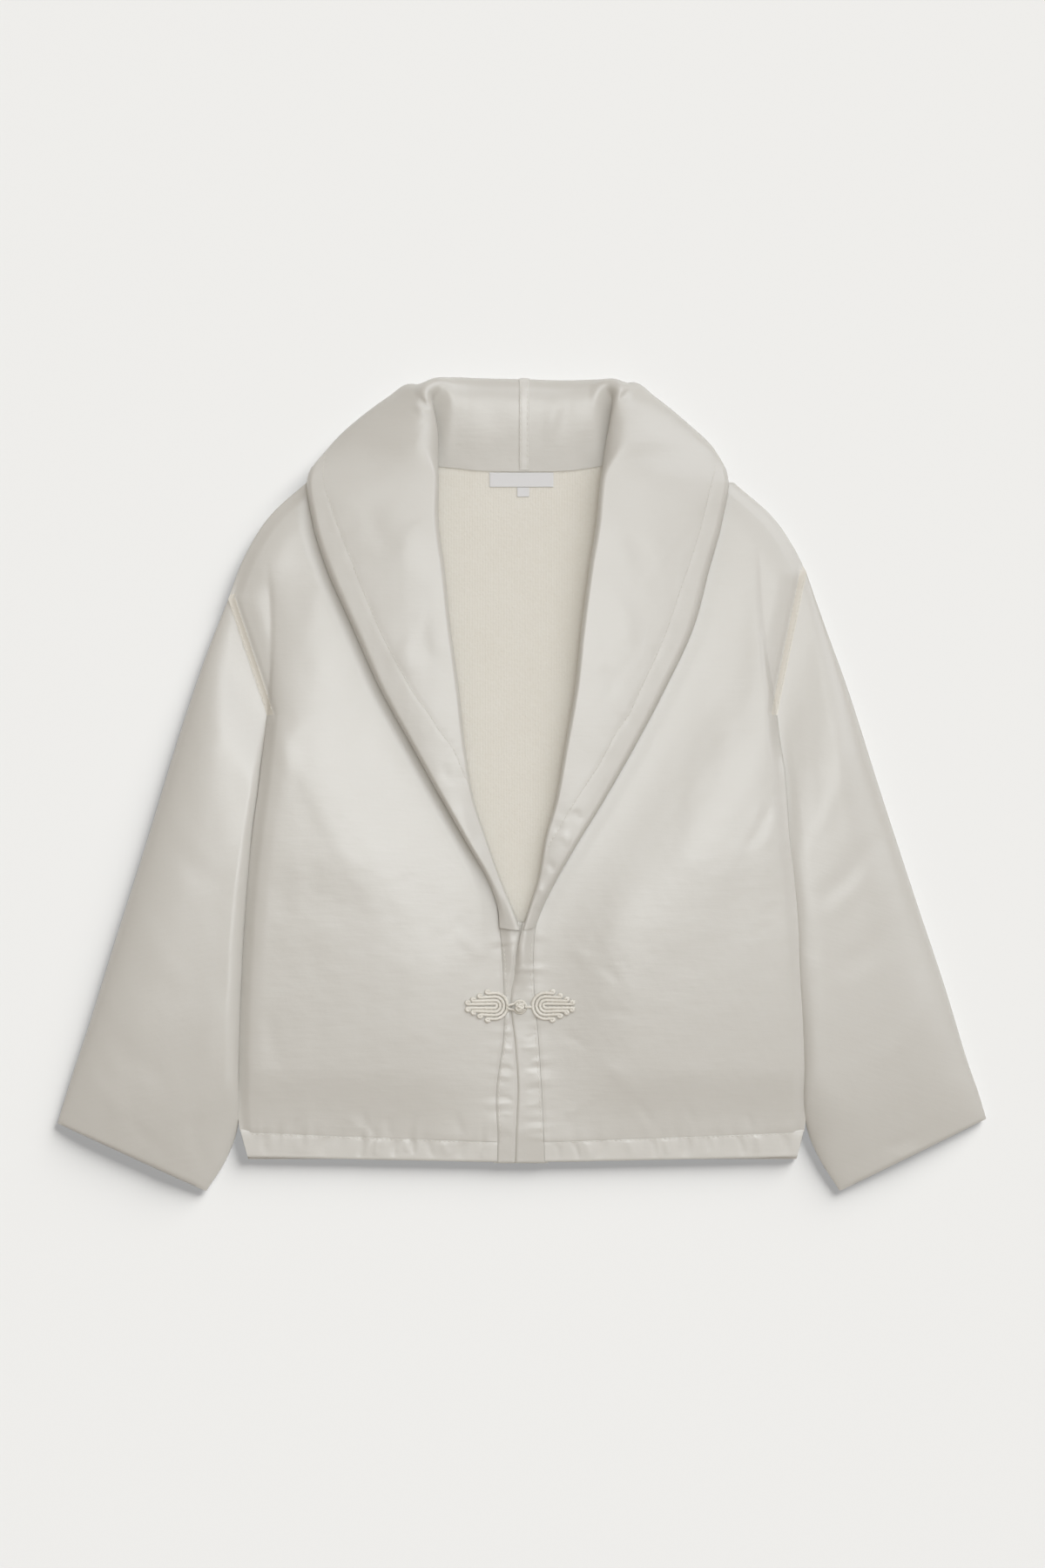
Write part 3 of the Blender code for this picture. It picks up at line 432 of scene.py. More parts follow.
FrontEdge = namedtuple("FrontEdge", "y right left")
FRONT_EDGE = [
    FrontEdge(-350, 22.5, 21), FrontEdge(-327, 22, 20.5), FrontEdge(-283, 23.5, 18.5),
    FrontEdge(-228, 16.7, 15), FrontEdge(-175, 17, 11), FrontEdge(-131, 20.5, 12.6),
    FrontEdge(-87, 26.5, 24), FrontEdge(-48, 42.5, 39.5), FrontEdge(0, 63.5, 57.5),
    FrontEdge(50, 77.5, 66), FrontEdge(106, 84.5, 73.5), FrontEdge(165, 91, 81.5),
    FrontEdge(213, 97, 88), FrontEdge(262, 99.5, 94), FrontEdge(290, 98, 96),
]
Loft = namedtuple("Loft", "y loft")
LOFT = [
    Loft(-350, 3), Loft(-318, 4), Loft(-270, 7), Loft(-210, 10), Loft(-140, 12.6), Loft(-60, 13.6),
    Loft(10, 13), Loft(80, 11), Loft(160, 8.5), Loft(260, 6),
]
Fold = namedtuple("Fold", "y right left")
ARMHOLE_FOLD = [
    Fold(64, 232.5, 232.5), Fold(116, 229, 224), Fold(158, 228.5, 219), Fold(209, 233, 216.5),
]
FOLD_TOP = {"right": 212.0, "left": 245.0}
FOLD_FADE = {"right": 40.0, "left": 70.0}
FOLD_ROUND = {"right": 60.0, "left": 9.0}
FOLD_ROUND_FROM = (30.0, 90.0)

# Outline of the collar's fall where it lies on the fronts
FallLine = namedtuple("FallLine", "y right left")
FALL_LINE = [
    FallLine(-130, 20.5, 12.2), FallLine(-111, 22, 18.5), FallLine(-86.5, 29.5, 31),
    FallLine(-48, 49, 54), FallLine(-14, 68.4, 75), FallLine(34, 95.4, 102.5), FallLine(88, 125.5, 131),
    FallLine(144, 150.6, 157), FallLine(197, 174, 171.3), FallLine(240, 187, 183),
    FallLine(282, 191, 188.5),
]

# Creases in the fronts, x from the centre line: ends, height (a trough is negative) and half width
Crease = namedtuple("Crease", "x0 y0 x1 y1 height width")
FRONT_CREASES = {
    "right": [
        Crease(220, 190, 211, 28, -0.8, 14), Crease(222, 120, 214, 5, 0.7, 9),
        Crease(186, 205, 176, 80, 0.4, 16), Crease(148, -296, 134, -322, -0.7, 3),
        Crease(158, -301, 146, -318, 0.5, 3), Crease(122, -303, 119, -322, -0.5, 3),
        Crease(96, -300, 101, -322, -0.4, 3), Crease(60, -298, 52, -322, -0.5, 4),
        Crease(205, -306, 210, -318, -0.5, 3), Crease(60, -130, 32, -158, 0.5, 6),
        Crease(210, -60, 170, -150, 0.35, 14), Crease(110, -80, 60, -118, -0.35, 10),
        Crease(232, -200, 216, -268, -0.5, 8), Crease(150, 60, 120, -20, 0.4, 15),
    ],
    "left": [
        Crease(196, 180, 190, 60, -0.5, 12), Crease(226, -14, 204, -60, -0.4, 5),
        Crease(232, -20, 222, -58, 0.3, 5), Crease(62, -282, 40, -304, 0.5, 4),
        Crease(102, -286, 122, -318, -0.5, 4), Crease(150, -292, 158, -318, -0.4, 3),
        Crease(204, -300, 212, -318, -0.5, 3), Crease(40, -148, 78, -176, 0.4, 6),
        Crease(56, -160, 92, -182, -0.4, 5), Crease(66, -208, 104, -212, -0.35, 5),
        Crease(180, -60, 130, -160, 0.35, 16), Crease(150, 100, 196, 10, 0.4, 16),
        Crease(34, -228, 62, -242, -0.35, 4), Crease(70, -250, 110, -292, 0.4, 7),
    ],
}


def distance_to(line, x, y):
    """Plan distance from points to a line, and how far along it the nearest place is."""
    line = np.asarray(line, float)
    run = np.diff(line, axis=0)
    lengths = np.linalg.norm(run, axis=1)
    before = np.concatenate([[0.0], np.cumsum(lengths)])
    nearest = np.full(x.shape, np.inf)
    place = np.zeros(x.shape)
    for start, step, length, reached in zip(line[:-1], run, lengths, before):
        t = np.clip(((x - start[0]) * step[0] + (y - start[1]) * step[1]) / length**2, 0.0, 1.0)
        away = np.hypot(x - start[0] - t * step[0], y - start[1] - t * step[1])
        place = np.where(away < nearest, reached + t * length, place)
        nearest = np.minimum(away, nearest)
    return nearest, place


def creased(creases, x, y):
    """Soft troughs and ridges between their ends, fading out towards them."""
    total = np.zeros_like(x)
    for crease in creases:
        run = np.array([crease.x1 - crease.x0, crease.y1 - crease.y0], float)
        length = np.linalg.norm(run)
        run /= length
        along = ((x - crease.x0) * run[0] + (y - crease.y0) * run[1]) / length
        off = (y - crease.y0) * run[0] - (x - crease.x0) * run[1]
        fade = np.clip(1.0 - np.abs(2.0 * along - 1.0) ** 2.5, 0.0, 1.0)
        bow = crease.width * np.sin(math.pi * np.clip(along, 0.0, 1.0)) * 0.5
        total += crease.height * fade * np.exp(-((off - bow) / crease.width) ** 2)
    return total


def puckered(line, x, y, gathers, seed):
    """Uneven little gathers across a sewn line, and the line itself drawn down into the cloth."""
    away, place = distance_to(line, x, y)
    chance = np.random.default_rng(seed)
    count = int(place.max() / gathers.spacing) + 8
    steps = np.cumsum(chance.uniform(*GATHER_SPACING, count)) * gathers.spacing
    sizes = chance.uniform(-1.0, 1.0, count) * chance.uniform(*GATHER_SIZE, count)
    folds = through(np.concatenate([[0.0], steps]), np.concatenate([[0.0], sizes]), place.ravel())
    raised = gathers.depth * folds.reshape(x.shape) * np.exp(-(away / gathers.reach) ** 1.5)
    return raised - gathers.sink * np.exp(-(away / gathers.sink_width) ** 2)


def under_level(distance_in):
    """Underside of what lies on the back: on the back panel round its edge, else on the lining."""
    return LINING_BASE + (FRONT_BASE - LINING_BASE) * ease(distance_in, *LINING_STEP)


def front_plan(side):
    """Plan of a front in rows from the hem seam up, from the side seam to the front edge."""
    outline = body_outline(side, FRONT_ROWS)
    seam_rows = FRONT_ROWS[0]
    outline[:seam_rows, 1] = np.linspace(SIDE_HEM, UNDERARM_Y, seam_rows)
    outline[:seam_rows, 0] = across(SIDE_SEAM, side, outline[:seam_rows, 1])
    inner_y = np.concatenate([np.linspace(FRONT_HEM, UNDERARM_ROW, seam_rows),
                              np.linspace(UNDERARM_ROW, SHOULDER_ROW, FRONT_ROWS[1])[1:],
                              np.linspace(SHOULDER_ROW, TOP_ROW, FRONT_ROWS[2])[1:]])
    inner = np.stack([across(FRONT_EDGE, side, inner_y) + 0.5 * SEAM_GAP, inner_y], -1)
    u = edge_spread(FRONT_COLUMNS)[None, :, None]
    return outline[:, None] * (1.0 - u) + inner[:, None] * u


def loft_edge(side, y):
    """Where the padding of a front ends: the collar's outline, and below it the band seam."""
    return np.where(y > FALL_LINE[0].y, across(FALL_LINE, side, y), across(FRONT_EDGE, side, y))


def front_heights(side, x, y):
    """Top and underside of a front at plan points, x counted from the centre line."""
    from_outline = distance_to(body_outline(side, OUTLINE_STEPS), x, y)[0]
    side_x = across(SIDE_SEAM, side, y)
    from_hem = y - SIDE_HEM + HEM_DIP * ease(side_x - x, *HEM_DIP_SPAN)
    body_edge = np.where(y < UNDERARM_Y, side_x, across(ARMHOLE_FOLD, side, y))
    round_over = SIDE_ROUND[side] + (FOLD_ROUND[side] - SIDE_ROUND[side]) * ease(y, *FOLD_ROUND_FROM)
    low_kept, high_kept = SIDE_EDGE[side]
    kept = low_kept + (high_kept - low_kept) * ease(y, *SIDE_EDGE_TURN)
    above_side = ease(y, *SIDE_EDGE_FADE)
    kept = kept + (FOLD_KEPT[side] - kept) * above_side
    kept = kept * (1.0 + (ease(from_outline, 0.0, WEDGE_ROUND) - 1.0) * above_side)
    folded = kept + (1.0 - kept) * rise(body_edge - x, round_over)
    plain = rise(from_outline, SHOULDER_ROUND)
    fold_share = 1.0 - ease(y, FOLD_TOP[side] - FOLD_FADE[side], FOLD_TOP[side])
    side_rise = plain + (folded - plain) * fold_share
    in_from_edge = (x - loft_edge(side, y)) * COLLAR_SLANT
    by_collar = ease(y, *COLLAR_FROM)
    rolled = BAND_ROLLED[side] * rise(in_from_edge, BAND_ROUND)
    front_rise = rolled + (1.0 - BAND_ROLLED[side]) * ease(in_from_edge, 0.0, BAND_ROUND)
    front_rise = front_rise * (1.0 - by_collar)
    loft = through([row.y for row in LOFT], [row.loft for row in LOFT], y.ravel()).reshape(y.shape)
    stepped = np.minimum(COLLAR_STEP[side] / loft, 1.0)
    valley = ease(in_from_edge, COLLAR_LEDGE, COLLAR_VALLEY) * (1.0 - stepped)
    front_rise += (valley + stepped * ease(in_from_edge, *COLLAR_STEP_SPAN)) * by_collar
    under = under_level(np.minimum(from_outline, y - HEM_BOTTOM))
    fullness = ease(from_outline, 0.0, FULLNESS_ROUND) * ease(y, *FULLNESS_FROM)
    hem_rise = HEM_ROLLED * rise(from_hem, HEM_ROUND)
    hem_rise += (1.0 - HEM_ROLLED) * ease(from_hem, 0.0, HEM_ROUND)
    full = side_rise * front_rise * hem_rise
    return under + FLAT_WALL + NECK_FULLNESS * fullness + loft * full, under, full


def front_hem_line(side):
    """Seam between a front and its hem band, in plan with x from the centre line."""
    side_x = float(across(SIDE_SEAM, side, SIDE_HEM))
    front_x = float(across(FRONT_EDGE, side, FRONT_HEM))
    return np.linspace((side_x, SIDE_HEM), (front_x, FRONT_HEM), SEAM_STEPS)


def band_seam_line(side):
    y = np.linspace(FRONT_HEM, BAND_SEAM_TOP, BAND_SEAM_STEPS)
    return np.stack([across(FRONT_EDGE, side, y), y], -1)


def seam_puckers(side, x, y):
    """Gathers along the hem and band seams, the same on both pieces of each seam."""
    return (puckered(front_hem_line(side), x, y, HEM_GATHERS, FRONT_SEED[side] + 2)
            + puckered(band_seam_line(side), x, y, BAND_GATHERS, FRONT_SEED[side] + 3))


def hem_seam_y(side, x):
    """Height up the plan of the seam between a front and its hem band."""
    return np.interp(x, *front_hem_line(side)[::-1].T)


seam_silk = silk_satin("silk satin, seam strip", SEAM_IVORY, SEAM_IVORY_SHADE)
fronts = {}
for side in SIDES:
    plan = front_plan(side)
    x, y = plan[..., 0], plan[..., 1]
    top, under, full = front_heights(side, x, y)
    inside = ease(full, 0.0, FULL_INSIDE)
    seed = FRONT_SEED[side]
    top += creased(FRONT_CREASES[side], x, y) * ease(y - hem_seam_y(side, x), 0.0, CREASE_FADE)
    top += inside * (waves(x, y, seed, FRONT_WAVES) + waves(x, y, seed + 1, FRONT_RIPPLES))
    top += seam_puckers(side, x, y)
    armhole = resample(shoulder_points(ARMHOLE, side), SEAM_STEPS)
    from_armhole = distance_to(armhole, x, y)[0]
    top += STRIP_HEIGHT * ease(STRIP_WIDTH - from_armhole, *STRIP_EDGE)
    top += puckered(armhole, x, y, ARMHOLE_GATHERS, seed + 4)
    top = np.maximum(top, under + THINNEST)
    place = signed(plan, side)
    fronts[side] = cloth("front_silk_" + side, *slab_parts(level(place, top), level(place, under)), silk)
    fronts[side].data.materials.append(seam_silk)
    for face in fronts[side].data.polygons:
        middle = np.abs(face.center.x) / MM, face.center.y / MM
        if middle[0] > ARMHOLE[0].right_x - STRIP_WIDTH and middle[1] > UNDERARM_Y:
            away = distance_to(armhole, np.array(middle[0]), np.array(middle[1]))[0]
            face.material_index = int(away < STRIP_WIDTH)
    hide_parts("front_" + side)

# Hem bands: the fronts' lower edges turned up and stitched flat, with no wadding in them. The thin
# double satin crinkles where the stitching draws it in.
HEM_SWELL = 2.25
TURN_IN = 3.0
TURN_DROP = 1.8
HEM_SIDE_LIFT = 2.0
HEM_FRONT_DROP = 2.5
HEM_DEPTH = 26.0
HEM_ROWS = 26
HEM_COLUMNS = 190
HEM_EDGE_ROUND = 2.4
HEM_EDGE_START = 0.2
HEM_EDGE_WALL = 0.5
HEM_LEAST_WALL = 0.4
HEM_CROWDING = 0.3
HEM_CREASE_FADE = 5.0
TURN_SPAN = (0.6, 2.4)
HEM_SEED = {"right": 41, "left": 51}
HEM_EDGE_WAVES = Unevenness(0.5, 40.0)
HEM_WAVES = Unevenness(0.25, 24.0)
HEM_CREASES = {
    "right": [
        Crease(138, -321, 150, -342, -0.9, 3.0), Crease(130, -321, 134, -340, 0.8, 3.0),
        Crease(112, -322, 118, -341, -0.9, 3.2), Crease(104, -322, 105, -337, 0.7, 2.6),
        Crease(97, -323, 99, -339, -0.8, 2.6), Crease(86, -323, 80, -342, -0.7, 3.4),
        Crease(72, -324, 66, -340, 0.6, 4.0), Crease(50, -324, 56, -344, -0.5, 4.0),
        Crease(176, -320, 182, -341, -0.5, 5.0), Crease(204, -319, 200, -338, 0.5, 6.0),
        Crease(236, -319, 231, -340, -0.5, 5.0), Crease(32, -327, 36, -343, 0.5, 3.0),
    ],
    "left": [
        Crease(46, -325, 52, -344, -0.8, 2.6), Crease(58, -324, 60, -342, 0.6, 3.0),
        Crease(76, -323, 70, -343, -0.6, 3.4), Crease(94, -322, 101, -343, 0.5, 4.0),
        Crease(118, -321, 122, -342, -0.8, 2.6), Crease(128, -321, 133, -339, 0.6, 2.6),
        Crease(152, -320, 148, -341, -0.6, 3.4), Crease(168, -320, 171, -336, -0.5, 3.0),
        Crease(196, -319, 203, -341, -0.7, 3.0), Crease(214, -318, 216, -337, 0.6, 3.2),
        Crease(238, -318, 241, -338, -0.5, 4.0), Crease(30, -326, 34, -344, -0.5, 3.0),
    ],
}

hem_bands = {}
for side in SIDES:
    side_y = np.array([HEM_BOTTOM + HEM_SIDE_LIFT, SIDE_HEM + TURN_IN])
    front_y = np.array([HEM_BOTTOM - HEM_FRONT_DROP, FRONT_HEM + TURN_IN])
    outer = np.stack([across(SIDE_SEAM, side, np.array([HEM_BOTTOM, SIDE_HEM])), side_y], -1)
    inner = np.stack([across(FRONT_EDGE, side, front_y) + SEAM_GAP, front_y], -1)
    v = edge_spread(HEM_ROWS)[:, None, None]
    u = edge_spread(HEM_COLUMNS, HEM_CROWDING)[None, :, None]
    lower_edge = outer[0] * (1.0 - u) + inner[0] * u
    plan = lower_edge * (1.0 - v) + (outer[1] * (1.0 - u) + inner[1] * u) * v
    x, y = plan[..., 0], plan[..., 1]
    seed = HEM_SEED[side]
    plan[..., 1] += waves(x, 0.0 * y, seed, HEM_EDGE_WAVES) * (1.0 - v[..., 0])
    from_edge = y - lower_edge[..., 1]
    under = under_level(np.minimum(y - HEM_BOTTOM - HEM_SIDE_LIFT, across(SIDE_SEAM, side, y) - x))
    below_seam = hem_seam_y(side, x) - y
    relief = creased(HEM_CREASES[side], x, y) + waves(x, y, seed + 2, HEM_WAVES)
    relief = relief * ease(below_seam, 0.0, HEM_CREASE_FADE) + seam_puckers(side, x, y)
    edge = rise(from_edge + HEM_EDGE_START, HEM_EDGE_ROUND)
    slope = LINING_BASE + (FRONT_BASE - LINING_BASE) * np.clip(from_edge / HEM_DEPTH, 0.0, 1.0)
    wall = HEM_EDGE_WALL + (HEM_SWELL + relief) * edge
    top = slope + np.maximum(wall, HEM_LEAST_WALL) - TURN_DROP * ease(-below_seam, *TURN_SPAN)
    place = signed(plan, side)
    # The hem bands wear the lighter copy of the satin, a painted sheen
    hem_bands[side] = cloth("hem_band_silk_" + side, *slab_parts(level(place, top), level(place, under)),
                            sheen_painted_silk)
    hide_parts("hem_band_" + side)

# Front bands: the folded strips down the two front edges, stitched flat to the padded fronts. The
# left one laps over the right, and their stitching gathers the satin into small cross creases.
BAND_TOP = -126.0
LAP_DROP = 1.6
LAP_SPAN = (-3.0, 0.5)
BAND_LIFT = {"right": 3.0, "left": 6.5}
BAND_LIFT_FROM = (-200.0, -145.0)
BAND_ROLL = 10.0
BAND_SLANT = 2.5
BAND_SLANT_FROM = -150.0
BAND_DROP = 3.5
BAND_ROWS = 210
BAND_COLUMNS = 26
BAND_EDGE_ROUND = 2.6
BAND_EDGE_START = 0.2
BAND_EDGE_WALL = 0.6
BAND_LEAST_WALL = 0.5
LAP_EDGE_START = 0.4
BAND_CREASE_SHARE = 0.35
BAND_CREASE_FADE = 4.0
BAND_TURN_SPAN = (-0.5, 1.0)
BAND_SEED = {"right": 61, "left": 71}
BAND_WAVES = Unevenness(0.15, 20.0)
UNDERLAP = {"right": 5.0, "left": 0.0}
Meeting = namedtuple("Meeting", "y x")
MEETING = [
    Meeting(-350, -6), Meeting(-303, -4.6), Meeting(-283, -3.6), Meeting(-239, -6),
    Meeting(-197, -10), Meeting(-166, -6.6), Meeting(-134, -0.5),
]

# Creases of the bands, in plan as they lie
BAND_CREASES = {
    "right": [
        Crease(-22, -284, -8, -290, -0.7, 2.6), Crease(-21, -270, -10, -268, 0.6, 2.6),
        Crease(-19, -256, -9, -262, -0.6, 2.2), Crease(-20, -300, -10, -304, 0.5, 3.0),
        Crease(-17, -236, -9, -240, -0.5, 2.4), Crease(-20, -318, -10, -322, -0.5, 3.0),
        Crease(-19, -160, -6, -148, 0.6, 3.4), Crease(-18, -176, -10, -170, -0.5, 3.0),
    ],
    "left": [
        Crease(14, -226, 2, -232, -0.8, 2.6), Crease(15, -238, 0, -241, 0.8, 2.4),
        Crease(16, -248, 1, -254, -0.8, 2.6), Crease(17, -262, 2, -262, 0.7, 2.8),
        Crease(18, -272, 4, -279, -0.8, 2.8), Crease(18, -290, 3, -292, 0.6, 3.0),
        Crease(19, -302, 2, -310, -0.6, 3.0), Crease(20, -320, 4, -322, 0.5, 3.0),
        Crease(10, -190, 0, -184, -0.6, 3.0), Crease(10, -172, -2, -160, 0.8, 3.4),
        Crease(11, -152, 1, -146, -0.7, 3.0),
    ],
}


def meeting_x(y):
    return through([row.y for row in MEETING], [row.x for row in MEETING], y.ravel()).reshape(y.shape)


bands = {}
for side, sign in SIDES.items():
    y = np.linspace(HEM_BOTTOM - BAND_DROP, BAND_TOP, BAND_ROWS)
    edge = meeting_x(y) + UNDERLAP[side]
    seam = sign * (across(FRONT_EDGE, side, y) + TURN_IN)
    u = edge_spread(BAND_COLUMNS)
    x = edge[:, None] * (1.0 - u) + seam[:, None] * u
    slant = u[None, :] * ease(y, BAND_SLANT_FROM, BAND_TOP)[:, None] * BAND_SLANT
    plan = np.stack([x, y[:, None] + slant], -1)
    x, y = plan[..., 0], plan[..., 1]
    under = under_level(y - HEM_BOTTOM)
    from_seam = across(FRONT_EDGE, side, y) - np.abs(x)
    rolled = ease(y, *BAND_LIFT_FROM)
    lift = BAND_LIFT[side] * rolled * ease(from_seam, 0.0, BAND_ROLL)
    relief = BAND_CREASE_SHARE * creased(BAND_CREASES[side], x, y)
    relief += waves(x, y, BAND_SEED[side], BAND_WAVES)
    relief = relief * ease(from_seam, 0.0, BAND_CREASE_FADE) + seam_puckers(side, np.abs(x), y)
    turned = rise(y - HEM_BOTTOM + BAND_DROP + BAND_EDGE_START, BAND_EDGE_ROUND)
    if side == "left":
        turned *= rise(np.abs(x - edge[:, None]) + LAP_EDGE_START, BAND_EDGE_ROUND + BAND_ROLL * rolled)
    slope = LINING_BASE + (FRONT_BASE - LINING_BASE) * np.clip((y - HEM_BOTTOM) / HEM_DEPTH, 0.0, 1.0)
    wall = BAND_EDGE_WALL + (FLAT_WALL - BAND_EDGE_WALL + relief) * turned
    top = slope + lift + np.maximum(wall, BAND_LEAST_WALL)
    top -= TURN_DROP * ease(-from_seam, *BAND_TURN_SPAN)
    if side == "right":
        top -= LAP_DROP * ease(x - meeting_x(y), *LAP_SPAN)
    bands[side] = cloth("front_band_silk_" + side,
                        *slab_parts(level(plan, top), level(plan, under + 0.5 * lift)), silk)
    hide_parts("front_band_" + side)

# Sleeves: straight padded tubes of satin set into the dropped armholes, ending in plain turned
# cuffs. They lie flat with a soft swell along the middle and a narrow space inside.
SLEEVE_EDGE_Z = 5.0
SLEEVE_EDGE_SHARE = 0.4
SLEEVE_BODY_EDGE_Z = {"right": (13.0, 9.0), "left": (15.0, 20.0)}
SLEEVE_BODY_ROUND = {"right": (14.0, 14.0), "left": (20.0, 30.0)}
SLEEVE_BODY_FADE = (-330.0, -270.0)
SLEEVE_UNDER_BODY = {"right": (-130.0, -30.0), "left": (-260.0, -150.0)}
SLEEVE_ROUND = 55.0
ARMHOLE_ROUND = 14.0
ARMHOLE_EDGE_Z = 8.0
BODY_OVERLAP = 1.5
SLEEVE_FLOOR_ROUND = 9.0
SLIT_HALF = 1.4
SLIT_END_HALF = 0.3
SLIT_ROUND = 12.0
SLIT_INSET = 9.0
SLIT_LEVEL = 0.42
SLIT_HIGHEST = 0.5
SLEEVE_RINGS = 170
SLEEVE_ACROSS = 84
ARMHOLE_SWELL = {"right": (-12.0, 85.0), "left": (-40.0, 160.0)}
ARMHOLE_LOW = 9.5
CUFF_ROUND = 4.0
CUFF_START = 0.3
CUFF_KEPT = 0.35
SLEEVE_SEED = {"right": 81, "left": 91}
SLEEVE_WAVES = Unevenness(0.4, 60.0)
SLEEVE_RIPPLES = Unevenness(0.12, 18.0)
SLEEVE_EDGE_STILL = 16.0
SLEEVE_TURN = {"right": math.radians(-17.0), "left": math.radians(17.0)}
SleeveSection = namedtuple("SleeveSection", "outer_x outer_y inner_x inner_y crown")
SLEEVE = {
    "right": [
        SleeveSection(269, 170, 233.5, 64, 14), SleeveSection(290, 117, 238, 20, 19),
        SleeveSection(315, 43, 247, -47, 23), SleeveSection(345, -55, 254, -115, 25),
        SleeveSection(373, -143, 258, -183, 25), SleeveSection(396, -217, 260.6, -259, 23),
        SleeveSection(411, -262, 261.5, -312, 19.5), SleeveSection(419.5, -289, 273, -344, 15.5),
        SleeveSection(426, -310, 291, -372.4, 11),
    ],
    "left": [
        SleeveSection(261, 194, 234, 64, 14), SleeveSection(277.5, 147, 239, 20, 19),
        SleeveSection(300, 85, 244.5, -47, 23), SleeveSection(329, -6, 252, -115, 25),
        SleeveSection(359, -98, 256, -183, 25), SleeveSection(389, -188, 259.6, -259, 23),
        SleeveSection(408, -251, 262, -312, 19.5), SleeveSection(418.5, -281, 274, -342, 15.5),
        SleeveSection(426, -306, 293, -372.4, 11),
    ],
}
SLEEVE_CREASES = {
    "right": [
        Crease(276, 130, 250, 84, -0.6, 9), Crease(300, 70, 262, 8, 0.5, 12),
        Crease(330, -40, 268, -96, -0.5, 12), Crease(352, -110, 300, -190, 0.45, 13),
        Crease(388, -210, 318, -276, -0.5, 12), Crease(398, -258, 340, -318, 0.5, 9),
        Crease(300, -290, 288, -352, -0.5, 8), Crease(272, -196, 288, -268, 0.4, 9),
        Crease(280, 20, 268, -60, 0.4, 10), Crease(366, -292, 322, -342, -0.45, 7),
    ],
    "left": [
        Crease(268, 150, 246, 96, -0.5, 9), Crease(292, 40, 262, -50, 0.5, 12),
        Crease(330, -44, 264, -108, -0.6, 10), Crease(324, -66, 272, -124, 0.3, 8),
        Crease(346, -120, 284, -168, -0.4, 11), Crease(376, -186, 316, -262, 0.45, 12),
        Crease(392, -236, 340, -310, -0.45, 10), Crease(372, -330, 340, -342, 0.8, 6),
        Crease(360, -318, 330, -332, -0.5, 5), Crease(300, -270, 286, -350, -0.5, 8),
    ],
}


def ring_points(start, end, u, top, bottom):
    """One ring round a sleeve, out along its top and back along its underside."""
    over = start * (1.0 - u[:, None]) + end * u[:, None]
    lower = np.column_stack([over[::-1][1:-1], bottom[::-1][1:-1]])
    return np.concatenate([np.column_stack([over, top]), lower])


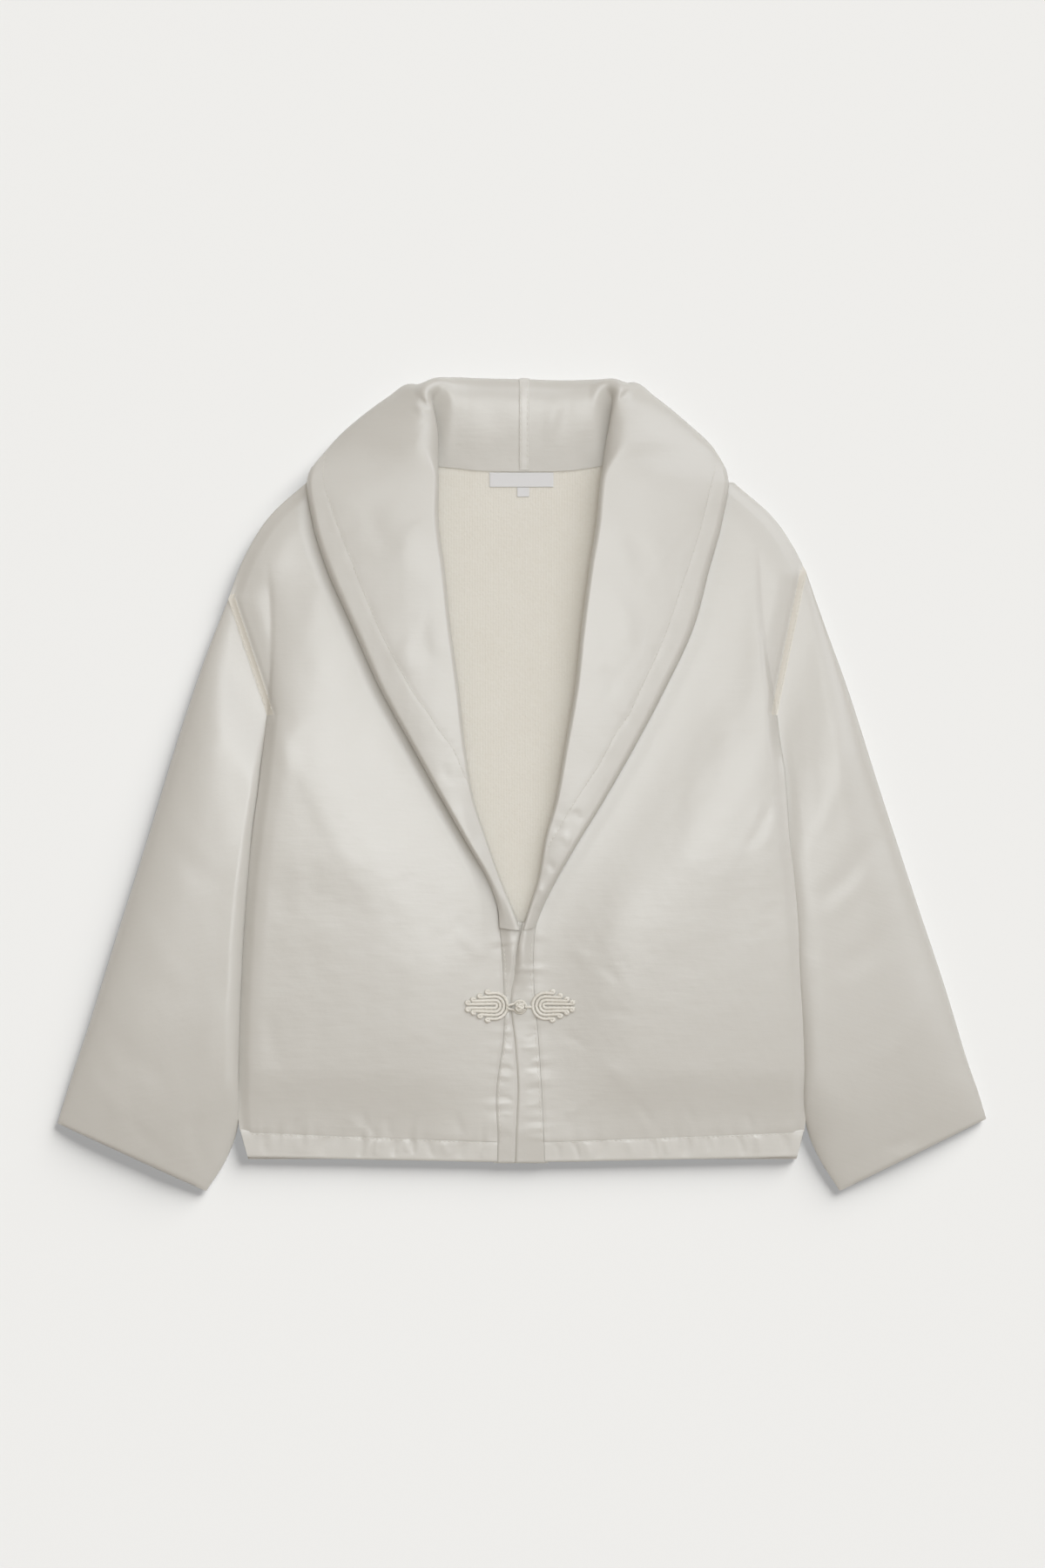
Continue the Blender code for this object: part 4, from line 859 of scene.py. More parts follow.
for side, sign in SIDES.items():
    sections = resample(np.array(SLEEVE[side], float), SLEEVE_RINGS)
    u = edge_spread(SLEEVE_ACROSS)
    middles = 0.5 * (sections[:, :2] + sections[:, 2:4])
    from_cuff = np.linalg.norm(np.diff(middles, axis=0), axis=1)[::-1].cumsum()
    from_cuff = np.concatenate([[0.0], from_cuff])[::-1]
    from_armhole = from_cuff[0] - from_cuff
    seed = SLEEVE_SEED[side]
    outer_rings, inner_rings = [], []
    for section, set_in, to_cuff in zip(sections, from_armhole, from_cuff):
        outer, inner, crown = section[:2], section[2:4] - [BODY_OVERLAP, 0.0], section[4]
        width = np.linalg.norm(inner - outer)
        nearest = np.minimum(u, 1.0 - u) * width
        swell = ease(set_in, *ARMHOLE_SWELL[side])
        high = ARMHOLE_LOW + (crown - ARMHOLE_LOW) * swell
        free_edge = min(SLEEVE_EDGE_Z, SLEEVE_EDGE_SHARE * high)
        free_edge += (ARMHOLE_EDGE_Z - free_edge) * (1.0 - swell)
        free_round = ARMHOLE_ROUND + (SLEEVE_ROUND - ARMHOLE_ROUND) * swell
        beside_body = ease(inner[1], *SLEEVE_BODY_FADE)
        under_body = ease(inner[1], *SLEEVE_UNDER_BODY[side])
        edge_over, edge_under = SLEEVE_BODY_EDGE_Z[side]
        round_over, round_under = SLEEVE_BODY_ROUND[side]
        body_edge = edge_over + (edge_under - edge_over) * under_body
        body_edge = ARMHOLE_LOW + (body_edge - ARMHOLE_LOW) * swell
        body_edge = free_edge + (body_edge - free_edge) * beside_body
        body_round = round_over + (round_under - round_over) * under_body
        body_round = free_round + (body_round - free_round) * beside_body
        edge = free_edge * (1.0 - u) + body_edge * u
        cuff = rise(to_cuff + CUFF_START, CUFF_ROUND)
        top = edge + (high - edge) * rise(u * width, free_round) * rise((1.0 - u) * width, body_round)
        bottom = edge * (1.0 - rise(nearest, SLEEVE_FLOOR_ROUND))
        over = outer * (1.0 - u[:, None]) + inner * u[:, None]
        x, y = over[:, 0], over[:, 1]
        soft = ease(nearest, 0.0, SLEEVE_EDGE_STILL) * swell
        top += soft * (creased(SLEEVE_CREASES[side], x, y) + waves(x, y, seed, SLEEVE_WAVES)
                       + waves(x, y, seed + 1, SLEEVE_RIPPLES))
        middle = SLIT_LEVEL * crown
        top = middle + (top - middle) * (CUFF_KEPT + (1.0 - CUFF_KEPT) * cuff)
        outer_rings.append(ring_points(outer, inner, u, top, bottom))
        run = (inner - outer) / width
        start_slit, end_slit = outer + run * SLIT_INSET, inner - run * SLIT_INSET
        from_slit_end = np.minimum(u, 1.0 - u) * np.linalg.norm(end_slit - start_slit)
        half = SLIT_END_HALF + (SLIT_HALF - SLIT_END_HALF) * rise(from_slit_end, SLIT_ROUND)
        slit = min(middle, high * SLIT_HIGHEST)
        inner_rings.append(ring_points(start_slit, end_slit, u, slit + half, slit - half))
    place = np.array([sign, 1.0, 1.0])
    outer_rings, inner_rings = np.array(outer_rings) * place, np.array(inner_rings) * place
    rings, count = outer_rings.shape[:2]
    inside = rings * count
    faces = grid_faces(rings, count, 0, True)
    faces += [f[::-1] for f in grid_faces(rings, count, inside, True)]
    for ring in (0, rings - 1):
        for point in range(count):
            here, beside = ring * count + point, ring * count + (point + 1) % count
            faces.append((here, beside, beside + inside, here + inside))
    points = np.concatenate([outer_rings.reshape(-1, 3), inner_rings.reshape(-1, 3)])
    sleeve_silk = silk_satin("silk satin, sleeve " + side, IVORY, IVORY_SHADE, SLEEVE_TURN[side])
    cloth("sleeve_silk_" + side, points, faces, sleeve_silk)
    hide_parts("sleeve_" + side)

# Shawl collar: two padded halves joined at the centre back. Each stands behind the neck, rolls over
# and falls on the front down to the closure; a line of stitching runs along its outer edge.
UNDER_COLLAR_TOP = FRONT_BASE + FLAT_WALL + NECK_FULLNESS
SEAM_MID = 5.7
TUCKED_MID = 4.0
TUCKED_EDGE_Z = 11.5
FALL_SWELL = 4.4
FALL_DROOP = 0.2
FALL_CLEAR = {"right": -0.6, "left": -3.0}
ROLL_SQUARE = 0.85
ROLL_LIFT = 0.12
FALL_SHARE = 0.5
SHOULDER_SHARE = 0.92
SHOULDER_SHARE_FROM = (190.0, 285.0)
TUCK_TURN = (90.0, 170.0)
MAX_HALF = 9.5
COLLAR_ROWS = 230
COLLAR_STEPS = (8, 12, 14, 20, 20)
COLLAR_EDGE = (0.96, 0.84, 0.6, 0.25)
EDGE_STAND = 13.0
EDGE_STAND_FROM = (-135.0, -50.0)
EDGE_STAND_ROUND = 6.0
FALL_CROWN = 1.2
EDGE_OUT = {"right": 4.0, "left": 0.0}
EDGE_OUT_FROM = (-120.0, -40.0)
EDGE_START = 0.2
TUCK_FADE = 25.0
COLLAR_SEED = {"right": 101, "left": 111}
COLLAR_WAVES = Unevenness(0.3, 48.0)
COLLAR_RIPPLES = Unevenness(0.1, 15.0)
COLLAR_GATHERS = Gathers(0.35, 6.0, 5.0, 0.2, 1.6)
SHOWN_SLOPE = 1.6
SEAM_DROP = 2.7
SEAM_THIN = 0.75
CollarSection = namedtuple(
    "CollarSection", "roll_x roll_y mid_z half turn seam_x seam_y line_x line_y tuck wall")
COLLAR = {
    "right": [
        CollarSection(-2.05, 371.3, 6.2, 8.5, 180, -2.05, 287.0, -2.05, 372.3, 71, 5.0),
        CollarSection(40, 372.2, 6.2, 8.5, 180, 40, 288.0, 40, 373.2, 72, 5.0),
        CollarSection(66, 372.2, 6.6, 8.7, 174, 58, 290.0, 67, 373.2, 73, 5.0),
        CollarSection(82, 369, 10.5, 9, 140, 68, 291.0, 87, 371.5, 73, 5.0),
        CollarSection(88, 358, 14.5, 9, 90, 73.5, 291.5, 104, 365, 70, 5.0),
        CollarSection(82, 344, 16, 8.5, 45, 78, 291.5, 125, 352.5, 60, 5.0),
        CollarSection(77, 325, 15.5, 9.0, 15, 83, 291.0, 150, 334, 42, 5.0),
        CollarSection(76, 304, 15.9, 9.5, 0, 90, 289.0, 175, 310, 19, 5.0),
        CollarSection(76.3, 282, 15.4, 9.5, 0, 96.5, 282, 191, 283, 0, 5.0),
        CollarSection(76.6, 240, 15.4, 9.5, 0, 98, 240, 187, 240, 0, 5.0),
        CollarSection(71, 197, 14.9, 9.0, 0, 94, 197, 174, 197, 0, 5.0),
        CollarSection(65.6, 144, 14.4, 8.5, 0, 87.5, 144, 150.6, 144, 0, 5.0),
        CollarSection(58, 88, 13.9, 8.0, 0, 81, 88, 125.5, 88, 0, 5.0),
        CollarSection(52, 34, 12.9, 7.0, 0, 72, 34, 95.4, 34, 0, 5.0),
        CollarSection(44, -14, 11.4, 5.6, 0, 56, -14, 68.4, -14, 0, 4.5),
        CollarSection(33, -48, 10.2, 4.4, 0, 41, -48, 49, -48, 0, 4.0),
        CollarSection(19.5, -87, 9.3, 3.6, 0, 25, -87, 29.5, -86, 0, 3.4),
        CollarSection(9, -112, 8.7, 3.0, 0, 17, -112, 22, -111, 0, 3.2),
        CollarSection(1.6, -133, 8.3, 2.7, 0, 11, -132.5, 20.5, -130.5, 0, 3.0),
    ],
    "left": [
        CollarSection(2.35, 371.3, 6.2, 8.5, 180, 2.35, 287.0, 2.35, 372.3, 71, 5.0),
        CollarSection(42, 370.2, 6.2, 8.5, 180, 42, 288.0, 42, 371.2, 70, 5.0),
        CollarSection(70, 370.2, 6.6, 8.7, 174, 58, 290.0, 71, 371.2, 71, 5.0),
        CollarSection(86, 368.5, 10.5, 9, 140, 68, 291.5, 91, 370.5, 72, 5.0),
        CollarSection(89, 360, 14.5, 9, 90, 73.5, 292.0, 104, 366, 70, 5.0),
        CollarSection(84, 345, 16, 8.5, 45, 78, 292.0, 124, 353, 60, 5.0),
        CollarSection(79.5, 326, 15.5, 9.0, 15, 82, 291.5, 152, 330, 38, 5.0),
        CollarSection(75.5, 304, 15.9, 9.5, 0, 88, 289.5, 176, 306, 15, 5.0),
        CollarSection(73, 282, 15.4, 9.5, 0, 93, 282, 188.5, 281, 0, 5.0),
        CollarSection(68.6, 240, 15.4, 9.5, 0, 90.5, 240, 183, 240, 0, 5.0),
        CollarSection(62, 197, 14.9, 9.0, 0, 84.5, 197, 171.3, 197, 0, 5.0),
        CollarSection(55, 144, 14.4, 8.5, 0, 77.5, 144, 157, 144, 0, 5.0),
        CollarSection(49, 88, 13.9, 8.0, 0, 70, 88, 131, 88, 0, 5.0),
        CollarSection(39.7, 34, 12.9, 7.0, 0, 61.5, 34, 102.5, 34, 0, 5.0),
        CollarSection(31, -15, 11.9, 6.2, 0, 51, -15, 75, -14, 0, 4.5),
        CollarSection(22, -48, 10.8, 5.0, 0, 38, -48, 54, -48, 0, 4.2),
        CollarSection(15, -87, 9.6, 3.9, 0, 22.5, -87, 31, -87, 0, 3.8),
        CollarSection(7, -112, 8.8, 3.1, 0, 12.5, -112, 18.5, -112, 0, 3.3),
        CollarSection(0.8, -133, 8.3, 2.7, 0, 7, -132, 12.2, -129, 0, 3.0),
    ],
}

# Line of stitching inside each half's outer edge, x from the centre line
StitchPoint = namedtuple("StitchPoint", "x y")
COLLAR_STITCH = {
    "right": [
        StitchPoint(180, 300), StitchPoint(181, 281), StitchPoint(176, 260), StitchPoint(166, 232),
        StitchPoint(155.4, 205), StitchPoint(142, 171), StitchPoint(130, 143), StitchPoint(115.6, 114.5),
        StitchPoint(96.6, 81), StitchPoint(87, 68.5), StitchPoint(74, 48), StitchPoint(63, 34),
        StitchPoint(54, 13), StitchPoint(46.6, -3),
    ],
    "left": [
        StitchPoint(177, 291), StitchPoint(171, 267), StitchPoint(164, 238), StitchPoint(156, 211),
        StitchPoint(146, 182.5), StitchPoint(136, 152), StitchPoint(123, 118.5), StitchPoint(110, 91),
        StitchPoint(98, 65), StitchPoint(86, 48), StitchPoint(72, 21), StitchPoint(59, 1),
        StitchPoint(51.6, -10), StitchPoint(34, -39.5), StitchPoint(23, -58),
    ],
}
COLLAR_CREASES = {
    "right": [
        Crease(94, 353, 82, 344, -0.9, 2.6), Crease(99, 349, 86, 339, 0.6, 2.6),
        Crease(102, 342, 90, 335, -0.4, 2.6), Crease(84, 330, 96, 324, -0.4, 2.6),
        Crease(86, 318, 98, 308, 0.4, 4.0), Crease(68, 352, 50, 356, 0.7, 6.0),
        Crease(60, 322, 30, 330, 0.5, 10.0), Crease(40, 348, 14, 340, -0.5, 9.0),
        Crease(104, 240, 96, 180, 0.6, 12.0), Crease(140, 262, 118, 210, -0.5, 10.0),
        Crease(92, 150, 78, 110, -0.6, 8.0), Crease(108, 132, 94, 98, 0.5, 8.0),
        Crease(72, 20, 62, 2, -0.4, 5.0), Crease(56, -20, 46, -40, 0.4, 5.0),
        Crease(44, -44, 36, -62, -0.4, 4.5), Crease(30, -70, 24, -92, 0.4, 4.0),
    ],
    "left": [
        Crease(98, 362, 88, 350, -0.6, 2.6), Crease(104, 358, 92, 350, 0.5, 3.0),
        Crease(30, 352, 22, 318, 0.6, 5.0), Crease(46, 356, 30, 322, -0.6, 5.0),
        Crease(60, 340, 48, 308, 0.5, 6.0), Crease(16, 346, 14, 310, -0.4, 5.0),
        Crease(104, 300, 120, 262, 0.5, 12.0), Crease(96, 230, 112, 190, -0.5, 9.0),
        Crease(84, 176, 98, 128, 0.5, 9.0), Crease(74, 108, 84, 78, -0.5, 7.0),
        Crease(46, -24, 54, -34, -0.7, 3.5), Crease(34, -44, 44, -54, 0.7, 3.5),
        Crease(22, -70, 30, -80, -0.7, 3.0), Crease(13, -94, 21, -102, 0.6, 3.0),
        Crease(10, -112, 16, -120, -0.6, 2.6),
    ],
}


def collar_points(row, side):
    """Middle of the wall through one collar section, from the neck seam round the roll to the edge."""
    roll = np.array([row.roll_x, row.roll_y, BACK_WALL + row.mid_z])
    line = np.array([row.line_x, row.line_y, 0.0])
    out = np.array([row.line_x - row.roll_x, row.line_y - row.roll_y, 0.0])
    out /= np.linalg.norm(out)
    line += EDGE_OUT[side] * float(ease(row.line_y, *EDGE_OUT_FROM)) * (row.tuck == 0) * out
    up = np.array([0.0, 0.0, 1.0])
    angle = math.radians(row.turn)
    mouth = math.cos(angle) * out - math.sin(angle) * up
    fall_side = math.sin(angle) * out + math.cos(angle) * up
    centre = roll + (row.half + 0.5 * row.wall) * math.cos(angle) * out
    stand = centre - row.half * fall_side
    ridge = centre - row.half * mouth
    fall = centre + row.half * fall_side
    if row.tuck == 0:
        fall += row.half * (ROLL_LIFT * fall_side - ROLL_SQUARE * mouth)
    seam = np.array([row.seam_x, row.seam_y, BACK_WALL + SEAM_MID])
    if row.tuck == 0:
        edge = line + up * (UNDER_COLLAR_TOP + FALL_CLEAR[side] + 0.5 * row.wall)
        near_shoulder = float(ease(row.roll_y, *SHOULDER_SHARE_FROM))
        share = FALL_SHARE + (SHOULDER_SHARE - FALL_SHARE) * near_shoulder
        turn = fall + share * (edge - fall)
        swell = FALL_DROOP * (fall[2] - edge[2]) + FALL_SWELL * row.half / MAX_HALF
        turn[2] += (1.0 - share) * swell
    else:
        edge = line + np.array([0.0, -row.tuck, TUCKED_MID])
        under = 0.5 * (fall + edge)
        under[2] = TUCKED_MID
        silhouette = line - 0.5 * row.wall * out + up * TUCKED_EDGE_Z
        share = float(ease(row.turn, *TUCK_TURN))
        turn = silhouette * (1.0 - share) + under * share
    points = np.array([seam, stand, ridge, fall, turn, edge])
    points[:, 0] *= SIDES[side]
    return points


def collar_surface(side, rows, steps):
    """Middle surface of a collar half and its wall, as grids from centre back to tip."""
    stations = [collar_points(row, side) for row in COLLAR[side]]
    sections = np.array([resample(points, steps=steps) for points in stations])
    sunk = np.clip(1.0 - np.arange(sections.shape[1]) / steps[0], 0.0, 1.0) ** 2
    sections[..., 2] -= SEAM_DROP * sunk
    walls = np.array([[row.wall] for row in COLLAR[side]]) * (1.0 - SEAM_THIN * sunk)
    tucks = np.repeat([[row.tuck] for row in COLLAR[side]], sections.shape[1], 1)
    grid = resample(np.concatenate([sections, walls[..., None], tucks[..., None]], -1), rows)
    return grid[..., :3], grid[..., 3:4], grid[..., 4]


def surface_normals(grid, side):
    normal = np.cross(np.gradient(grid, axis=0), np.gradient(grid, axis=1)) * SIDES[side]
    return normal / np.linalg.norm(normal, axis=-1, keepdims=True)


collars = {}
for side, sign in SIDES.items():
    middle, wall, tuck = collar_surface(side, COLLAR_ROWS, COLLAR_STEPS)
    normal = surface_normals(middle, side)
    wall[:, -len(COLLAR_EDGE):, 0] *= COLLAR_EDGE
    face = middle + 0.5 * wall * normal
    fallen = slice(sum(COLLAR_STEPS[:3]), None)
    out = np.linalg.norm(np.diff(middle[:, fallen, :2], axis=1), axis=-1).cumsum(1)
    out = np.concatenate([np.zeros((len(middle), 1)), out], 1)
    t = out / out[:, -1:]
    rim = middle[:, -1:, 2]
    flat = face[:, fallen, 2][:, :1] * (1.0 - t) + (rim + EDGE_STAND) * t
    flat += FALL_CROWN * 4.0 * t * (1.0 - t)
    flat = rim + (flat - rim) * rise(out[:, -1:] - out + EDGE_START, EDGE_STAND_ROUND)
    share = (1.0 - ease(tuck, 0.0, TUCK_FADE)) * ease(middle[..., 1], *EDGE_STAND_FROM)
    face[:, fallen, 2] += (flat - face[:, fallen, 2]) * share[:, fallen]
    x, y = np.abs(face[..., 0]), face[..., 1]
    seed = COLLAR_SEED[side]
    shown = np.clip(SHOWN_SLOPE * normal[..., 2], 0.0, 1.0)
    over = np.zeros_like(x)
    over[:, sum(COLLAR_STEPS[:2]):] = 1.0
    relief = creased(COLLAR_CREASES[side], x, y)
    relief += waves(x, y, seed, COLLAR_WAVES) + waves(x, y, seed + 1, COLLAR_RIPPLES)
    relief += over * puckered(COLLAR_STITCH[side], x, y, COLLAR_GATHERS, seed + 2)
    face = face + normal * (relief * shown)[..., None]
    collars[side] = cloth("collar_silk_" + side, *slab_parts(face, middle - 0.5 * wall * normal), silk)
    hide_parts("collar_" + side)

# Collar tape: a narrow folded strip of satin over the seam that joins the collar halves, stitched
# down both edges from the neck seam to the fold.
TAPE_X = 2.2
TAPE_WIDTH = 9.2
TAPE_WALL = 0.7
TAPE_SINK = 0.8
TAPE_STEPS = (40, 30, 3, 4, 4)
TAPE_ROWS = 60
TAPE_ACROSS = 15
TAPE_EDGE_SHARE = 0.35
TAPE_EDGE_ROUND = 1.2
TAPE_STITCH_IN = 1.4
TAPE_STITCH_WIDTH = 0.5
TAPE_SEED = 121
TAPE_WAVES = Unevenness(0.15, 7.0)
middle, wall, tuck = collar_surface("left", TAPE_ROWS, TAPE_STEPS)
line = middle[0] + surface_normals(middle, "left")[0] * (0.5 * wall[0] + SEAM_GAP)
line = line[1:TAPE_STEPS[0] + TAPE_STEPS[1]]
turn = np.gradient(line[:, 1:], axis=0)
outward = np.stack([turn[:, 1], -turn[:, 0]], -1)
outward /= np.linalg.norm(outward, axis=-1, keepdims=True)
outward *= np.sign(outward[0, 1])
low = np.repeat(line[:, None], TAPE_ACROSS, 1) - [0.0, 0.0, TAPE_SINK]
low[..., 0] = TAPE_X + TAPE_WIDTH * (edge_spread(TAPE_ACROSS) - 0.5)
high = low + [0.0, 0.0, TAPE_SINK]
from_edge = 0.5 * TAPE_WIDTH - np.abs(high[..., 0] - TAPE_X)
bulge = TAPE_EDGE_SHARE + (1.0 - TAPE_EDGE_SHARE) * rise(from_edge, TAPE_EDGE_ROUND)
bulge -= TAPE_EDGE_SHARE * np.exp(-((from_edge - TAPE_STITCH_IN) / TAPE_STITCH_WIDTH) ** 2)
bulge += waves(high[..., 0], high[..., 1], TAPE_SEED, TAPE_WAVES)
high[..., 1:] += (TAPE_WALL * bulge)[..., None] * outward[:, None]
# The tape wears the lighter copy of the satin, a painted sheen
collar_tape = cloth("collar_tape_silk", *slab_parts(high, low), sheen_painted_silk)
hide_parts("collar_tape")

# Neck label and size tab: two small pieces of woven ribbon, plain and bare, caught in the neck seam
# and lying on the lining.
Ribbon = namedtuple("Ribbon", "centre_x centre_y width length seed")
RIBBONS = {
    "size_tab": Ribbon(1.2, 268.2, 11.0, 8.6, 141),
    "neck_label": Ribbon(-0.4, 279.5, 58.5, 13.4, 131),
}
LABEL_WALL = 0.7
LABEL_EDGE_SHARE = 0.6
LABEL_EDGE_ROUND = 0.8
LABEL_COLUMNS = 40
LABEL_ROWS = 24
LABEL_CROWDING = 0.6
LABEL_WAVES = Unevenness(0.1, 16.0)
RIBBON = (0.705, 0.703, 0.706, 1.0)
RIBBON_SHADE = (0.648, 0.646, 0.649, 1.0)
woven_ribbon, shader, start, place = new_finish("woven ribbon")
warp = start.node("ShaderNodeTexWave", {"bands_direction": "X"}, {"Vector": place, "Scale": 500.0}, 1)
weft = start.node("ShaderNodeTexWave", {"bands_direction": "Y"}, {"Vector": place, "Scale": 380.0}, 1)
start.tint(warp * 0.4 + weft * 0.4 + start.noise(place, 300.0) * 0.2,
           RIBBON_SHADE, RIBBON).into(shader, "Base Color")
(0.5 + warp * 0.1).into(shader, "Roughness")
start.bump(warp * weft, 0.3, 0.0002).into(shader, "Normal")
for name, ribbon in RIBBONS.items():
    u = edge_spread(LABEL_COLUMNS, LABEL_CROWDING) - 0.5
    v = edge_spread(LABEL_ROWS, LABEL_CROWDING) - 0.5
    x, y = np.meshgrid(ribbon.centre_x + u * ribbon.width, ribbon.centre_y + v * ribbon.length)
    plan = np.stack([x, y], -1)
    inward = np.minimum(0.5 * ribbon.width - np.abs(x - ribbon.centre_x),
                        0.5 * ribbon.length - np.abs(y - ribbon.centre_y))
    wall = LABEL_WALL * (LABEL_EDGE_SHARE + (1.0 - LABEL_EDGE_SHARE) * rise(inward, LABEL_EDGE_ROUND))
    top = LINING_TOP + SEAM_GAP + wall + waves(x, y, ribbon.seed, LABEL_WAVES)
    under = level(plan, LINING_TOP + SEAM_GAP)
    cloth(name + "_ribbon", *slab_parts(level(plan, top), under), woven_ribbon)
    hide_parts(name)

# Frog closure: satin rat-tail cord laid in four nested loops and sewn to each front, the ends curled
# outward. A cord loop from the right pad goes round a knotted ball on a stem from the left pad.
CORD_DIAMETER = 2.4
KNOT_CENTRE = (-1.8, -203.0)
KNOT_RADIUS = 5.0
KNOT_CLEAR = 0.4
KNOT_LEADS = 3
KNOT_BIGHTS = 5
KNOT_TILT = math.radians(58.0)
KNOT_FLATTEN = 0.85
KNOT_WEAVE = 0.1
KNOT_POINTS = 420
KNOT_CORE = KNOT_RADIUS - 0.75 * CORD_DIAMETER
LOOP_CLEAR = -0.5
LOOP_HALF_GAP = 1.3
LOOP_OPEN = 150.0
LOOP_POINTS = 60
STEM_SINK = 0.6
STEM_REACH = 1.6
PAD_AXIS_Y = -202.0
PAD_END = {"left": 7.8, "right": 11.0}
PAD_ARC_RADIUS = 14.0
PAD_CORD = 3.3
PAD_SQUEEZE = 0.16
PAD_LIE = 0.42
LIE_SPAN = 9
CURL_RADIUS = 1.9
CURL_FLATTEN = 0.8
CURL_INNER = 0.45
CURL_TURN = (250.0, -60.0)
CURL_POINTS = 22
BEND_POINTS = 40
LEG_POINTS = 12
CORD_CREASE = 80.0
CORD_SIDES = 12
CORD_STEP = 0.55
CORD_TIP = 0.05
PLY_PITCH = 4.2
PLY_DEPTH = 0.07
CORD_COLOUR = (0.775, 0.755, 0.705, 1.0)
CORD_SHADE = (0.680, 0.645, 0.565, 1.0)
PadCord = namedtuple("PadCord", "offset leg")
PAD_CORDS = [PadCord(2.0, 24.0), PadCord(5.2, 19.0), PadCord(8.5, 13.0), PadCord(11.9, 6.0)]

cord_satin, shader, start, place = new_finish("satin cord")
shader.inputs["Sheen Weight"].default_value = 0.1
strands = start.noise(place, 900.0, 2.0)
creamy = start.noise(place, 120.0, 2.0)
start.tint(strands * 0.5 + creamy * 0.5, CORD_SHADE, CORD_COLOUR).into(shader, "Base Color")
(0.34 + strands * 0.14).into(shader, "Roughness")
start.bump(strands, 0.35, 0.0002).into(shader, "Normal")


def ground_under(pieces):
    """Height of the topmost of some pieces at a plan point."""
    trees = [BVHTree.FromPolygons([v.co for v in piece.data.vertices],
                                  [p.vertices for p in piece.data.polygons]) for piece in pieces]

    def height(x, y):
        start = Vector((x * MM, y * MM, 1.0))
        hits = [tree.ray_cast(start, Vector((0.0, 0.0, -1.0)))[0] for tree in trees]
        return max([hit.z / MM for hit in hits if hit] + [FRONT_BASE])

    return height


def evenly(path, step):
    """A path of points at an even step."""
    path = np.asarray(path, float)
    reached = np.concatenate([[0.0], np.cumsum(np.linalg.norm(np.diff(path, axis=0), axis=1))])
    at = np.linspace(0.0, reached[-1], max(int(reached[-1] / step), 3))
    return np.stack([np.interp(at, reached, path[:, axis]) for axis in range(path.shape[1])], -1), at


def cord_parts(path, diameter, closed=False):
    """Points and faces of a two-ply cord along a path, with rounded ends unless it closes on itself."""
    path, at = evenly(path, CORD_STEP)
    if closed:
        path, at = path[:-1], at[:-1]
        ahead = np.roll(path, -1, 0) - np.roll(path, 1, 0)
    else:
        ahead = np.gradient(path, axis=0)
    ahead /= np.linalg.norm(ahead, axis=1, keepdims=True)
    side_way = np.cross(ahead, [0.0, 0.0, 1.0])
    flat = np.linalg.norm(side_way, axis=1, keepdims=True)
    side_way = np.where(flat > 1e-3, side_way / np.maximum(flat, 1e-3), [1.0, 0.0, 0.0])
    up_way = np.cross(side_way, ahead)
    turns = np.linspace(0.0, 2.0 * math.pi, CORD_SIDES, endpoint=False)
    twist = 2.0 * math.pi * at[:, None] / PLY_PITCH
    radius = 0.5 * diameter * (1.0 - PLY_DEPTH + PLY_DEPTH * np.cos(2.0 * turns[None] - twist))
    if not closed:
        radius *= rise(np.minimum(at, at[-1] - at) + CORD_TIP, 0.5 * diameter)[:, None]
    points = (path[:, None] + radius[..., None] * (np.cos(turns)[None, :, None] * side_way[:, None]
                                                   + np.sin(turns)[None, :, None] * up_way[:, None]))
    faces = grid_faces(len(path), CORD_SIDES, 0, True)
    last = (len(path) - 1) * CORD_SIDES
    if closed:
        for k in range(CORD_SIDES):
            beside = (k + 1) % CORD_SIDES
            faces.append((last + k, last + beside, beside, k))
    else:
        faces += [tuple(range(CORD_SIDES))[::-1], tuple(range(last, last + CORD_SIDES))]
    return points.reshape(-1, 3), faces


def joined(parts):
    """Points and faces of several parts as one mesh."""
    points, faces, count = [], [], 0
    for some_points, some_faces in parts:
        points.append(some_points)
        faces += [tuple(count + k for k in face) for face in some_faces]
        count += len(some_points)
    return np.concatenate(points), faces


def pad_path(cord, sign, end_x):
    """Plan path of one loop of a pad: a leg in, the closed end and a leg out, curled at both ends."""
    centre = np.array([sign * (end_x + PAD_ARC_RADIUS), PAD_AXIS_Y])
    arc = np.radians(np.linspace(90.0, 270.0, BEND_POINTS))
    bend = centre + cord.offset * np.stack([sign * np.cos(arc), np.sin(arc)], -1)
    legs = np.linspace(1.0, 0.0, LEG_POINTS, endpoint=False)
    squeeze = cord.offset * (1.0 - PAD_SQUEEZE * legs * cord.leg / PAD_CORDS[0].leg)
    upper = centre + np.stack([sign * cord.leg * legs, squeeze], -1)
    curl = np.radians(np.linspace(*CURL_TURN, CURL_POINTS))
    reach = CURL_RADIUS * np.linspace(CURL_INNER, 1.0, CURL_POINTS)
    tip = upper[0] + np.array([0.0, CURL_RADIUS * CURL_FLATTEN])
    curled = tip + np.stack([sign * reach * np.cos(curl), CURL_FLATTEN * reach * np.sin(curl)], -1)
    half = np.concatenate([curled, upper[1:]])
    mirrored = half[::-1] * [1.0, -1.0] + [0.0, 2.0 * PAD_AXIS_Y]
    return np.concatenate([half, bend, mirrored])


ground = ground_under(list(fronts.values()) + list(bands.values()))
for side, sign in SIDES.items():
    parts = []
    for cord in PAD_CORDS:
        plan = evenly(pad_path(cord, sign, PAD_END[side]), CORD_STEP)[0]
        lie = np.pad([ground(*point) for point in plan], LIE_SPAN // 2, mode="edge")
        lie = np.convolve(lie, np.full(LIE_SPAN, 1.0 / LIE_SPAN), mode="valid")
        path = np.column_stack([plan, lie + PAD_LIE * PAD_CORD])
        parts.append(cord_parts(path, PAD_CORD))
    pad = cloth("frog_pad_cord_" + side, *joined(parts), cord_satin, CORD_CREASE)
    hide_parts("frog_pad_" + side)

